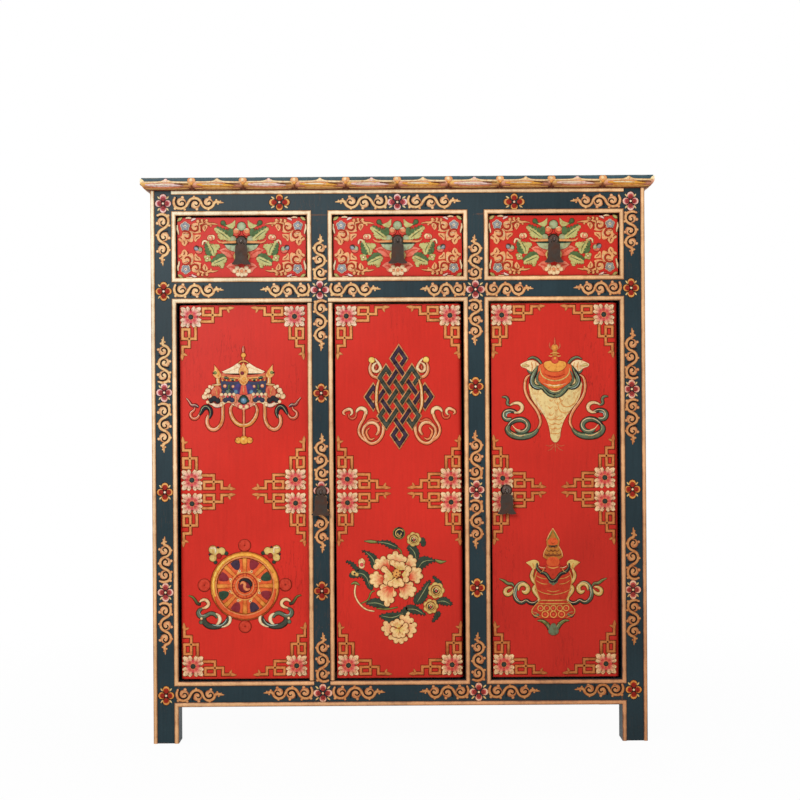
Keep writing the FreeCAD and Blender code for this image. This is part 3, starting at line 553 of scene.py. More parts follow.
PARASOL = outlined(mirrored((
    line("peach", (-41, -6, 3.2), (-41, -25, 3.4), (-42, -42, 3.6), (-49, -55, 3.8), (-60, -60, 4),
         (-69, -54, 3.8), (-72, -42, 3.6), (-69, -32, 3.4)),
    line("salmon", (-86, -27, 1.2), (-89, -35, 2.8), (-97, -38.5, 3.4), (-103, -34, 3.2),
         (-103, -27, 2.8), (-97, -22, 2.2), (-95, -16, 1.2)),
    line("ink", (-67, -38, 1.6), (-64, -27, 3.8), (-67, -18.5, 4.4), (-73, -15.5, 4.6),
         (-79, -19, 4.4), (-83, -26, 3.2), (-86, -31, 1.6), level=1),
    line("navy>salmon", (-88, -16, 1.6), (-93.6, -12.4, 3.4), (-101, -12, 3), (-106, -5, 2.2),
         (-112, 2, 0.8)),
    line("peach>amber", (-22, -11, 2.4), (-26, -20, 3), (-25, -30, 3.6), (-19, -42, 4),
         (-10, -50, 4), (0, -52.5, 4)),
    disc("gold", (-11, -81, 6.4)), disc("amber", (-13, -79, 3.4), level=1),
    area("cream", (-42, 53, 0), (-30, 58.5), (-20, 63.5), (-8, 69), (-6, 46, 0), (-20, 46.5),
         (-35, 48, 0), level=1),
    area("ochre", (-57, 66, 0), (-52, 60), (-46, 52), (-44, 44), (-50, 40), (-57, 44), (-60, 50),
         (-57, 56), level=1),
    line("ochre", (-50, 42, 4.2), (-50, 34, 3.8), (-49, 28, 4.6)),
    line("old_gilt", (-61, 27, 1.2), (-53, 27, 2.8), (-44, 28.5, 1.8), level=1),
    disc("cream", (-61, 22, 4.2), (-70, 16, 5.4), (-76, 4.5, 5.8), (-66, 5, 5)),
    line("cream>bloom", (-69, -7, 2.4), (-62, -9, 3.4), (-54, -13, 4), (-46, -12, 3.6),
         (-42, -6, 2.6)),
    area("salmon", (-62, 16), (-50, 25), (-43, 16), (-47, 4), (-60, 5), level=2),
    disc("ink", (-64, -3, 5), (-57.4, 0.6, 5.8), (-50.6, -3.4, 5.2), level=3),
    disc("cream", (-19, -10, 4.4)), disc("pink", (-8, -14.5, 4.8), level=1),
    disc("cream", (-6, -16, 2.2), (-20.5, -11, 2), level=2),
)) + (
    line("peach", (0, -14, 2.2), (0, -55, 2.2), (0, -74, 2.6)),
    disc("gold", (0, -80.5, 8.6), level=1), disc("yellow", (-1, -78, 3), level=2),
    area("navy", (-45, 37, 0), (-20, 33), (0, 36), (20, 33), (45, 37, 0), (43, 17, 0), (30, 14),
         (18, 16), (10, 9), (-10, 9), (-18, 16), (-30, 14), (-43, 17, 0), level=1),
    area("salmon", (-43, 50, 0), (43, 50, 0), (44, 38, 0), (-44, 38, 0), level=1),
    area("blush>petal", (0, 12, 0), (46, 12, 0), (47, -6), (41, -12), (34, -8), (26, -8), (18, -13),
         (8, -19), (0, -21), (-8, -19), (-18, -13), (-26, -8), (-34, -8), (-41, -12), (-47, -6),
         (-46, 12, 0)),
    disc("pink", (0, -13, 4.6), level=1),
    area("ochre", (0, 71, 0), (-5, 63), (-9, 53), (-6, 44), (-9, 37), (-4, 28), (0, 26), (4, 28),
         (9, 37), (6, 44), (9, 53), (5, 63), level=3),
    line("ochre", (-10, 69, 1), (-4, 73, 1.8), (4, 73, 1.8), (10, 69, 1), level=4),
    line("ochre", (0, 72, 2.4), (0, 82, 1.8), level=1), disc("amber", (0, 85, 5), level=2),
    line("salmon", (0, 90, 2), (0, 96, 3.2), (0, 103, 0.6)),
)) + mirrored((
    disc("moss", (-55, 51, 3.4), level=3), disc("ink", (-58.5, 50.5, 1.8), level=4),
    line("amber", (-52, 59, 1), (-48, 50, 2), (-50, 44, 1), level=3),
    line("ochre", (-43, 43.5, 1.8), (-20, 41, 2), (0, 40.5, 2.2), level=3),
    *strokes("pine", 4, ((-38, 41.5, 2), (-34, 41, 3), (-29, 39.5, 2)),
             ((-26, 38, 2), (-21, 37, 3), (-15, 37, 2))),
    line("pine", (-42, 17, 2.4), (-35, 14, 3), (-28, 17, 2.6), (-20, 13.5, 2.6), (-14, 15, 1.6),
         level=3),
    area("plum", (-19, 12), (-14, 28), (-8, 29), (-7, 12), level=3),
    disc("peach", (-36.5, 25, 3.6), (-20.5, 24, 3), level=3),
    disc("cream", (-36, 25.5, 1.6), (-20.5, 24.5, 1.3), level=4),
    line("green", (-29, 18, 1.6), (-28.5, 28, 2.2), level=3),
    disc("navy", (-36, -2.6, 5), (-29.4, 1.4, 5.6), (-22.6, -2.4, 5), level=4),
    *strokes("peach", 4, ((-17, 8, 1.6), (-15.4, 0, 2.6), (-16, -8, 1.8)),
             ((-46, 9, 1.6), (-43.6, 2, 2.4), (-43.4, -6, 1.8))),
    line("cream", (-40, 51.6, 0.6), (-24, 56, 1), (-10, 62, 0.6), level=3),
    disc("amber", *[(u, 37 + u * 0.02, 1.9) for u in (-41, -33, -25, -17, -9)], level=6),
    *[disc(paint, (u, 13.6, 4.4), level=5) for u, paint in (
        (-39, "navy"), (-31, "teal"), (-23, "navy"), (-15, "blue"))],
    disc("cream", *[(u, 8.6, 3.4) for u in (-43, -35, -27, -19)], level=6),
    disc("pink", *[(u, 4.6, 2.2) for u in (-39, -31, -23)], level=7),
    disc("cream", *[(u, v, 3.4) for u, v in (
        (-66, 24), (-74, 11), (-69, 6), (-70, -6), (-44, -12))], level=5),
    line("ochre", (-57, 22, 0.6), (-53, 15, 1.1), (-52, 7, 0.6), level=5),
    line("coral", (-49, 20, 0.8), (-48.4, 14, 1.6), (-49.6, 7, 0.8), level=5),
    line("amber", (-41, -8, 0.8), (-42, -40, 1), (-50, -56, 1), level=3),
)) + (
    area("coral", (-5, 26, 0), (5, 26, 0), (8, 8, 0), (-8, 8, 0), level=4),
    line("peach", (0, 25, 1), (0, 12, 1.6), level=5),
    disc("pine", (0, -2, 9.6), (-8, -4, 3.4), (8, -4, 3.4), level=5),
    disc("blue", (0, -3.4, 6.4), level=6), disc("sky", (-0.6, -2, 1.8), level=7),
    disc("petal", (-6, -15.4, 4.2), (6, -15.4, 4.2), level=5),
    disc("wine", (-2.5, 50, 4), level=5), disc("amber", (1, 39, 3.6), (3, 52, 2), level=5),
    line("amber", (-5, 34, 1), (0, 31, 1.8), (5, 34, 1), level=5),
)


def wedge(paint):
    """The gap between two spokes, and the curl at its point."""
    return (area(paint, (51.5, -9.5, 0), (53.5, 0), (51.5, 9.5, 0), (39, 6), (34, 0), (39, -6),
                 level=2),
            disc("cream", (31, -1.5, 3), level=3), disc("ochre", (29, 2.4, 2.6), level=3),
            disc("wine", (31.5, -1.5, 1.2), level=4))


WHEEL_FIELD = 56                                 # radius of the ground behind the spokes
SPOKE = line("flame>amber", (16, 0, 3.4), (34, 0, 4.2), (54, 0, 5), level=2)
WHEEL = outlined((
    *[ring("haze", r, r, centre=(u, v)) for r, u, v in (
        (6.2, 0, 79), (6.2, 0, -79), (6.4, 79, 2), (6.4, -79, 2))],
), "tile", 0.5) + (
    area("flame", *[(WHEEL_FIELD * math.cos(math.tau * i / 12),
                     WHEEL_FIELD * math.sin(math.tau * i / 12)) for i in range(12)], level=1),
    *outlined((ring("amber", 60.5, 6.3, level=2),)),
    *turned((SPOKE,), 8),
    *turned(wedge("violet"), 2, 112.5), *turned(wedge("wine"), 4, 67.5),
    *turned(wedge("pine"), 2, 22.5),
    arc("flame", 60.5, 5, 185, 355, level=4),
    ring("peach", 56.5, 1.2, level=4),
    arc("gold", 61.5, 3.4, 25, 215, level=4), arc("yellow", 62.5, 1.4, 100, 195, level=4.6),
    ring("ember", 67.4, 0.7, level=2),
    ring("ochre", 27, 1, level=3), ring("ember", 24, 0.7, level=3),
    ring("peach", 17.5, 1.4, level=3), disc("wine", (0, 0, 13.5), level=3),
    line("peach", (-9, 3, 1), (-5, 7, 3), (0, 4, 3.6), (-1, -2, 3), (4, -7, 3.4), (10, -5, 1.6),
         level=4),
    line("ink", (-11, 8, 1.4), (-4, 12.5, 2.6), (5, 11, 3.8), (11, 5, 3.6), (12.5, -1, 2),
         level=4),
) + mirrored(outlined((
    disc("straw", (-62, 71, 8.5), (-45, 68, 8), (-62, 55, 7.5), (-53, 65, 9)),
    disc("pine", (-36, 64, 4), (-57, 46.5, 3.6)),
    line("moss>ink", (-110, -18, 0.8), (-102, -21, 2), (-97, -27, 2.4), (-92, -34, 2.8),
         (-86, -35, 2.2)),
    line("cream", (-89, -31, 1.4), (-82, -26.5, 3), (-75, -28, 3.4), (-71, -35, 3.4),
         (-76, -41, 3), (-84, -43, 1.6), level=1),
    line("teal", (-82, -43, 2), (-89, -47, 3.8), (-91, -54, 4.2), (-84, -60, 4), (-74, -56, 4),
         (-66, -53, 4), (-58, -56, 3.6), (-54, -62, 2.6)),
    line("slate", (-80, -59, 3.6), (-80, -68, 5), (-73, -76, 5.5), (-62, -79, 5), (-50, -78, 4.4),
         (-40, -73, 4), (-34, -65, 3.4), (-33, -56, 1.8)),
    disc("teal", (-86, -70, 4)), disc("cream", (-85, -63, 2.6), level=1),
)) + (
    disc("ember", (-50, 59, 5.6), level=2), disc("ink", (-52, 76, 2), (-68.5, 62, 2.2), level=2),
    line("white", (-67, 74, 1.4), (-58, 74, 2), (-57, 64, 1.4), level=2),
    *strokes("white", 3, ((-57, -53, 1), (-51, -58, 3.2), (-49, -65, 4), (-52, -72, 3),
              (-57, -75, 1)),
             ((-46, -80, 0.8), (-37, -77, 2), (-30, -70, 2.8), (-29, -62, 3), (-32, -55, 1))),
    *strokes("sky", 3, ((-64, -75, 0.6), (-50, -77, 1.2), (-40, -71, 1), (-36, -64, 0.6)),
             ((-89, -49, 0.6), (-86, -56, 1.2), (-76, -56, 0.8))),
))


KNOT_ACROSS, KNOT_UP = 12.6, 18.7                # one step of the knot's grid, millimetres
BAND_WIDTH, BAND_HEART = 6, 3.9                  # half widths of a band and of its dark middle
KNOT_LOOPS = (                                   # their corners, in steps of the grid
    ("violet", ((0, 5), (-1, 4), (4, -1), (5, 0), (4, 1), (-1, -4), (0, -5), (1, -4),
                (-4, 1), (-5, 0), (-4, -1), (1, 4))),
    ("slate", ((-2, 3), (-3, 2), (2, -3), (3, -2))),
    ("slate", ((2, 3), (3, 2), (-2, -3), (-3, -2))),
)


def half_step(value):
    """Half a step of the grid, in the direction of the value."""
    return 0.5 if value > 0 else -0.5


def knot_bands():
    """A knot without an end: bands on a slanting grid that pass over and under by turns."""
    made = []

    def band(paint, level, *places):
        points = [(p * KNOT_ACROSS, q * KNOT_UP) for p, q in places]
        made.append(bars("rim", BAND_WIDTH, *points, level=level))
        made.append(bars(paint, BAND_HEART, *points, level=level + 1))

    for paint, corners in KNOT_LOOPS:
        for i, (p, q) in enumerate(corners):
            before, after = corners[i - 1], corners[(i + 1) % len(corners)]
            back_p, back_q = half_step(before[0] - p), half_step(before[1] - q)
            on_p, on_q = half_step(after[0] - p), half_step(after[1] - q)
            band(paint, 0, (p + back_p, q + back_q), (p, q), (p + on_p, q + on_q))
            slant = (after[0] - p) * (after[1] - q) > 0
            for k in range(1, abs(after[0] - p)):
                centre_p, centre_q = p + on_p * 2 * k, q + on_q * 2 * k
                over = slant == (centre_p % 2 == 1)
                band(paint, 2 if over else 0, (centre_p - on_p, centre_q - on_q),
                     (centre_p + on_p, centre_q + on_q))
    return tuple(made)


KNOT = outlined(mirrored((
    line("cream", (-47, 75, 1.4), (-40, 66, 2.6), (-35, 54, 3), (-36, 44, 2.4), (-40, 39, 1.6)),
    line("peach", (-54, 68, 2), (-57, 54, 3.2), (-51, 41, 3.6), (-41, 37, 3.2), (-33, 34, 1.6)),
    line("cream", (-43, 67, 1.4), (-50, 61, 2.8), (-49, 51, 3.2), (-41, 50, 2.8), (-37, 58, 1.4)),
    line("salmon", (-46, 62, 1), (-44, 57, 1.8), (-46, 52, 1), level=1),
    disc("yellow", (-53, 72, 6.2), level=1),
    line("cream>peach", (-38, -28, 2.4), (-33, -46, 3), (-31, -62, 3.2), (-35, -78, 3.2),
         (-46, -89, 3.2), (-58, -90, 3.4), (-67, -80, 3.2), (-71, -66, 3), (-64, -54, 3),
         (-53, -50, 3.2), (-43, -55, 3.4), (-40, -66, 3.2), (-45, -75, 2.4)),
    line("peach", (-62, -88, 2), (-73, -80, 2.8), (-79, -68, 3), (-77, -56, 3), (-70, -44, 3),
         (-65.5, -32, 3.4)),
    line("cream", (-65, -34, 3.4), (-66, -26, 4), (-73, -22, 4), (-80, -24, 3.2), (-84, -30, 1.6),
         level=1),
    line("salmon", (-36, -44, 1.6), (-42, -48, 2.4), (-52, -44, 2.6), (-61, -48, 2.2),
         (-66, -56, 1)),
    line("peach", (-48, -80, 1), (-56, -83, 2), (-62, -76, 2.4), (-64, -67, 2.2), (-58, -60, 1.2),
         level=1),
    line("salmon", (-84, -28, 1.6), (-85, -38, 2), (-90, -42, 2.4), (-97, -40, 2), (-99, -33, 1.4)),
    line("cream>peach", (-96, -36, 1), (-92, -31, 2.4), (-95, -24, 3), (-103, -25, 3.2),
         (-109, -31, 2.8), (-105, -35, 1)),
))) + moved(knot_bands(), 0, 0, up=3) + mirrored((
    line("ember", (-39, 33, 2.6), (-43, 18, 3.8), (-44, 0, 4), (-44, -16, 4), (-39, -32, 2.6),
         level=7),
    line("ochre", (-39, 33, 1.8), (-43, 18, 2.8), (-44, 0, 3), (-44, -16, 3), (-39, -32, 1.8),
         level=8),
    line("cream", (-42, 22, 0.6), (-45, 0, 1.2), (-44, -22, 0.6), level=9),
))


def ruffled(root, lobes, size=6.4, flush="coral>petal", level=0):
    """A petal with round lobes, flushed from its root, a dark line round it."""
    made = outlined((area(flush, (*root, 0), *lobes, level=level),
                     *(disc("petal", (u, v, size), level=level) for u, v in lobes)), "brown", 0.7)
    for lobe in lobes:                           # the fold that runs to each lobe
        made += (line("biscuit>petal", (*blended(root, lobe, 0.5), 0.8),
                      (*blended(root, lobe, 0.88), 1.8), (*lobe, 0.8), level=level + 1.6),)
    return made


def tea_rose(size):
    """A small yellow rose seen from the front, with dark folds round its heart."""
    outer = outlined(turned((disc("straw", (size * 0.62, 0, size * 0.42)),), 7), grow=0.6)
    return outer + (
        disc("straw", (0, 0, size * 0.72), level=2),
        arc("brown", size * 0.62, 0.8, 20, 200, level=3),
        arc("brown", size * 0.45, 0.9, 190, 380, level=3),
        disc("pine", (-size * 0.05, size * 0.02, size * 0.36), level=3),
        line("cream", (-size * 0.25, 0, 0.6), (0, size * 0.24, 1.6), (size * 0.22, 0.5, 0.8),
             level=4),
        disc("pink", (0, -size * 0.08, size * 0.13), level=5),
    )


TEETH = (0.3, 0.75)                              # where they stand between two points of a leaf
TOOTH_ROOT, TOOTH_TIP = 2, 2.6                   # how far a tooth goes in and out


def toothed(paint, *points, level=0):
    """A leaf's outline with short teeth along it, whichever way round its points go."""
    area_twice = sum(points[i - 1][0] * p[1] - p[0] * points[i - 1][1]
                     for i, p in enumerate(points))
    side = 1 if area_twice > 0 else -1
    made = [area(paint, *points, level=level)]
    for i, (bu, bv, *_) in enumerate(points):
        au, av = points[i - 1][:2]
        length = math.hypot(bu - au, bv - av)
        out_u, out_v = side * (bv - av) / length, side * (au - bu) / length
        for share in TEETH:
            mu, mv = au + (bu - au) * share, av + (bv - av) * share
            made.append(line(paint, (mu - out_u * TOOTH_ROOT, mv - out_v * TOOTH_ROOT, 2.2),
                             (mu + out_u * TOOTH_TIP, mv + out_v * TOOTH_TIP, 0.6),
                             level=level))
    return made


def veined(*points, veins=()):
    """A dark leaf with a toothed edge and paler veins."""
    return outlined(toothed("spruce", *points), "ink", 0.4) + tuple(
        line("sage", (*a, 0.4), (*b, 0.8), (*c, 0.4), level=2) for a, b, c in veins)


PEONY_LEAVES = (
    veined((-3, 77), (-14, 88), (-28, 92), (-46, 89, 0), (-30, 84), (-16, 76),
           veins=(((-6, 79), (-22, 86), (-42, 89)),))
    + veined((-74, 73, 0), (-55, 68), (-44, 58), (-45, 40), (-52, 37), (-57, 50), (-62, 63),
             veins=(((-48, 42), (-52, 56), (-66, 70)),))
    + veined((-105, 52, 0), (-94, 51), (-84, 42), (-79, 33), (-88, 36), (-96, 46))
    + veined((-99, 23), (-86, 34), (-75, 36), (-60, 26), (-52, 0), (-58, -4), (-68, 12),
             (-73, 22), (-85, 20), veins=(((-88, 28), (-70, 26), (-58, 2)),))
    + veined((-67, -30, 0), (-52, -21), (-38, -23), (-24, -34), (-22, -39), (-40, -39),
             (-54, -36), veins=(((-62, -30), (-44, -30), (-26, -37)),))
    + veined((-41, -54, 0), (-20, -49), (0, -48), (12, -37), (16, -45), (8, -55), (-2, -68),
             (-18, -69), (-32, -62), veins=(((-36, -55), (-14, -58), (6, -50)),))
    + veined((10, -39), (25, -34), (38, -41), (51, -54, 0), (38, -52), (22, -50),
             veins=(((14, -42), (30, -43), (46, -52)),))
    + veined((28, -31), (30, -15), (42, -5), (50, 8), (60, 14, 0), (58, 0), (54, -15),
             (46, -28), (38, -32), veins=(((34, -28), (44, -12), (56, 8)),))
    + veined((70, -29), (82, -20), (92, -21), (103, -34, 0), (88, -35), (78, -32),
             veins=(((74, -28), (86, -27), (98, -33)),))
    + veined((64, 22, 0), (72, 18), (82, 8), (80, 2), (72, 8))
    + veined((78, -48), (76, -58), (63, -68, 0), (66, -60), (70, -50))
    + veined((15, 79), (24, 83), (34, 77), (38, 62), (32, 52), (24, 58), (19, 70),
             veins=(((20, 79), (29, 68), (32, 56)),))
    + veined((32, 37), (34, 50), (44, 60), (58, 58), (71, 52, 0), (58, 47), (46, 38), (38, 34),
             veins=(((36, 38), (46, 50), (66, 53)),))
    + veined((43, 97), (50, 92), (48, 80), (42, 84))
)
PEONY = PEONY_LEAVES + outlined((
    *strokes("moss", 0, ((-44, 89, 2.4), (-56, 90, 3.4), (-69, 91, 0.6)),
             ((70, 53, 2.4), (80, 49.5, 3.8), (91, 51, 0.6))),
    line("cream", (-86, 6, 1.6), (-88, -10, 1.7), (-84, -23, 1.7), (-77, -33, 1.7),
         (-66, -42, 1.7), (-50, -46, 1.3)),
    *strokes("moss", 0, ((-95, 7, 0.8), (-87, 10, 3.2), (-78, 5, 0.8)),
             ((-77, -31, 1), (-62, -23, 1.4), (-55, -8, 1.6), (-49, -6, 0.8))),
    line("moss", (-46, -40, 1), (-28, -42, 1.6), (-4, -38, 1), level=1),
    line("moss", (-4, 78, 1.6), (3, 70, 1.4), (2, 62, 1)),
    disc("cream", (-74, 50, 7), (-74, 43, 6)), disc("straw", (-90, 29, 5), (-84, 26, 4), level=1),
    disc("petal", (15, -50, 4.6), (12, -59, 5)),
), grow=0.6) + (
    disc("pink", (-74, 45, 4), level=2), line("cream", (-77, 52, 1), (-73, 56, 2), (-70, 49, 1),
                                              level=2),
    disc("pine", (-88, 28, 2), level=3), disc("ink", (-1, 106, 12.5), level=1),
    arc("straw", 7.5, 1.1, 20, 300, level=2, centre=(0, 106)),
    arc("moss", 11, 1, 100, 420, level=2, centre=(-1, 106)),
    arc("straw", 3.4, 1, 150, 400, level=2, centre=(0, 105)),
) + moved((
    *ruffled((-20, 16), ((-46, 5), (-54, 12), (-54, 22), (-46, 27)), 5.6),
    *ruffled((-20, 34), ((-46, 41), (-43, 51), (-32, 56), (-21, 52)), 5.8),
    *ruffled((8, 34), ((16, 52), (21, 59), (28, 52), (27, 44)), 5.4),
    *ruffled((-8, 38), ((-19, 60), (-8, 66), (2, 60), (9, 55)), 5.8, level=3),
    *ruffled((10, 18), ((28, 35), (37, 33), (40, 22), (34, 13)), 5.8, level=3),
    *ruffled((-4, 10), ((21, 6), (27, -4), (23, -13), (11, -18), (4, -14)), 5.8),
    *ruffled((-12, 10), ((-33, 1), (-39, -11), (-33, -20), (-25, -31), (-17, -24), (-12, -12)),
             6.2, level=3),
    *ruffled((-10, 22), ((-30, 36), (-25, 22), (-26, 12), (-19, 14)), 6.6, "straw>petal", 6),
    *ruffled((-2, 34), ((-14, 49), (-6, 46), (4, 45), (13, 38)), 6, "straw>petal", 6),
    *ruffled((4, 26), ((17, 36), (13, 27), (12, 16)), 6.4, "straw>petal", 9),
    *ruffled((-6, 22), ((-18, 8), (-10, 12), (0, 13), (3, 7), (-8, 5)), 6, "straw>petal", 9),
    disc("ochre", (-6, 28, 9), level=12),
    disc("brown", *[(u, v, 1.7) for u, v in (
        (-12, 33), (-6, 30), (0, 33), (-14, 27), (0, 26), (-7, 24), (-10, 37), (-3, 21))],
         level=13),
    disc("yellow", *[(u, v, 1.1) for u, v in ((-9, 30), (-3, 28), (-9, 25), (-2, 36))],
         level=13),
    *ruffled((-1, -80), ((-28, -70), (-32, -80), (-26, -89)), 5.4),
    *ruffled((-1, -80), ((-18, -97), (-8, -104), (2, -105), (10, -100)), 5.2),
    *ruffled((-1, -80), ((20, -93), (27, -84), (28, -73)), 5.4),
    *ruffled((-1, -80), ((22, -64), (14, -58), (4, -58)), 5.2),
    *ruffled((-2, -80), ((-14, -70), (-6, -66), (3, -68)), 5.6, "straw>petal", 3),
    *ruffled((-2, -80), ((11, -74), (12, -84), (5, -92)), 5.6, "straw>petal", 6),
    *ruffled((-2, -80), ((-14, -82), (-10, -91), (-3, -93)), 5.6, "straw>petal", 6),
    disc("gold", (-2, -79, 2.6), level=9), disc("brown", (-2, -79, 1.4), level=10),
), 0, 0, up=1) + (
    moved(tea_rose(14), 28, 94, up=1) + moved(tea_rose(16), 71, -6, up=1)
    + moved(tea_rose(14.5), 60, -37, up=3))


CONCH = outlined(mirrored((
    *strokes("peach", 0, ((-46, 44, 1.2), (-55, 38, 2.6), (-58.5, 26, 3), (-58, 12, 3),
              (-53, -2, 3), (-44, -15, 3), (-36, -26, 3), (-30, -40, 3), (-29, -52, 2.6),
              (-34, -62, 2)),
             ((-47, 22, 1), (-48, 6, 2), (-41, -9, 2), (-32, -22, 1.8), (-26, -34, 1))),
    line("teal", (-31, -58, 1.4), (-40, -70, 4.4), (-54, -76, 6.2), (-70, -77, 6.6),
         (-85, -73, 6.2), (-93, -63, 5.4), (-90, -55, 3.6)),
    line("ink>teal", (-93, -58, 2.4), (-84, -48.6, 4.6), (-72, -44, 5.2), (-60, -46, 5.2),
         (-53, -55, 5.2), (-57, -65, 4.8), (-68, -68, 4), (-78, -64, 2)),
    line("teal>ink", (-85, -43, 3.4), (-96, -43, 4.6), (-99, -33, 5), (-91, -27, 4.6),
         (-80, -28, 3.8), (-72, -32, 2)),
    line("cream", (-88, -16, 1.4), (-79, -12, 2.6), (-69, -13, 3.6), (-64, -21, 3.8),
         (-69, -29, 3), (-80, -31, 1.4), level=1),
    line("teal", (-86, -17, 1.4), (-93, -13, 3), (-92, -5, 2.8), (-96, 0, 2.8), (-104, 0, 1)),
    area("cream", (-67, 62), (-61, 67), (-50, 71), (-38, 70), (-30, 60), (-36, 50), (-46, 46),
         (-55, 55)),
    *strokes("teal", 1, ((-53, 73, 1), (-44, 77, 2.4), (-35, 74, 2.8), (-28, 67, 2.4),
              (-24, 61, 1)),
             ((-54, 53, 1), (-47, 47, 2.6), (-40, 51, 1))),
)) + (
    area("shell", (-49, 30), (-49, 10), (-42, -9), (-28, -27), (-17, -45), (-11, -65), (-7, -84),
         (0, -89), (7, -84), (11, -65), (18, -45), (31, -25), (45, -7), (51, 12), (51, 30),
         (25, 40), (-25, 40), level=1),
    area("flame", (-35, 56), (-34, 40), (-28, 28), (-15, 18), (0, 12), (15, 18), (28, 28),
         (35, 40), (36, 56), (20, 66), (0, 70), (-20, 66), level=3),
    area("amber", (-21, 66), (-18, 55), (0, 49), (18, 55), (22, 65), (10, 70), (0, 71), (-10, 70),
         level=5),
)) + mirrored((
    line("ink", (-33, 61, 1), (-38, 50, 4.6), (-44, 38, 5.4), (-44, 25, 5.2), (-35, 18.5, 5),
         (-25, 18.5, 4.4), (-18, 11, 4.2), (-10, 4, 4), (0, 1, 4), level=6),
    *strokes("teal", 7, ((-34, 58, 0.8), (-39, 47, 2.4), (-44, 34, 3.2), (-41, 23, 3.2),
              (-32, 19, 2.6), (-24, 17, 2), (-17, 9, 2), (-9, 2.5, 2), (0, 0, 2)),
             ((-30, 50, 1), (-35, 38, 2.4), (-33, 28, 2.4), (-25, 22, 2), (-17, 16, 2), (-9, 9, 2),
              (0, 6.5, 2))),
    line("sky", (-40, 48, 0.5), (-47, 33, 0.9), (-42, 20, 0.9), (-30, 16, 0.6), level=8),
    line("straw", (-64, 62, 2), (-58, 62, 3), (-50, 60, 1), level=3),
    *strokes("ochre", 3, ((-46, 68, 0.6), (-44, 58, 1), (-46, 50, 0.5)),
             ((-38, 67, 0.6), (-37, 58, 1), (-40, 51, 0.5))),
    line("straw", (-29, 56, 0.7), (-26, 43, 1.3), (-14, 34, 1.3), (0, 31, 1.4), level=5),
    line("amber", (-22, 26, 1), (-11, 21.6, 3.6), (0, 19, 4.6), level=4.4),
    line("tile", (-19, 44, 0.6), (-10, 40, 1.4), (0, 38.6, 1.6), level=5),
    *strokes("cream", 3, ((-58, -73, 0.6), (-70, -76, 1.1), (-86, -68, 0.8)),
             ((-84, -54, 0.6), (-77, -62, 1), (-68, -65, 0.8))),
    line("sky", (-95, -38, 0.6), (-94, -32, 1.4), (-86, -30, 0.6), level=3),
    *strokes("ochre", 3, ((-14, -50, 0.5), (-7, -54, 0.9), (0, -52, 0.9)),
             ((-12, -60, 0.5), (-6, -63, 0.9), (0, -61, 0.9)),
             ((-9, -70, 0.5), (-5, -72, 0.9), (0, -71, 0.9)),
             ((-17, -40, 0.5), (-9, -45, 0.9), (0, -43, 0.9))),
    *strokes("salmon", 0, ((-3, -92, 1), (-10, -96, 1.2), (-19, -94, 0.5)),
             ((-2, -95, 1), (-8, -102, 1.2), (-15, -105, 0.5)),
             ((-5, 92, 1.4), (-10, 98, 1.8), (-9, 107, 0.5))),
    line("ochre", (-12, 80, 0.8), (-6, 79, 1.6), (0, 81, 1.8), level=2),
)) + (
    area("bronze", (-8, 70, 0), (-5, 78), (-4, 90, 0), (4, 90, 0), (5, 78), (8, 70, 0), level=4),
    disc("gold", (0, 64, 9), level=6), disc("coral", (0, 72, 8), level=7),
    disc("amber", (0, 75, 3), level=8),
    line("ochre", (-9, 84, 0.8), (0, 86, 1.8), (9, 84, 0.8), level=6),
    disc("ochre", (0, 96, 7), level=2), disc("amber", (0, 96, 4.8), level=3),
    line("salmon", (0, 101, 2), (0, 108, 2), (0, 116, 0.5), level=2),
    line("amber", (-12, 24, 2), (0, 20, 4.6), (12, 24, 2), level=5),
    *strokes("ochre", 3, ((8, 2, 0.6), (16, -18, 1), (34, -16, 1), (44, 0, 0.5)),
             ((4, -10, 0.6), (12, -30, 1), (26, -30, 0.5))),
    *[line("ochre", (u - 6, v + 2, 0.4), (u - 2, v - 2.4, 0.9), (u + 3, v + 2, 0.4), level=3)
      for u, v in ((-6, -6), (6, -12), (-8, -20), (4, -24), (-6, -34), (5, -38), (14, -6))],
    line("white", (-44, 6, 0.6), (-32, -16, 1.6), (-20, -34, 0.6), level=3),
    line("salmon", (0, -90, 1.6), (0, -100, 1.6), (0, -108, 0.5)),
)

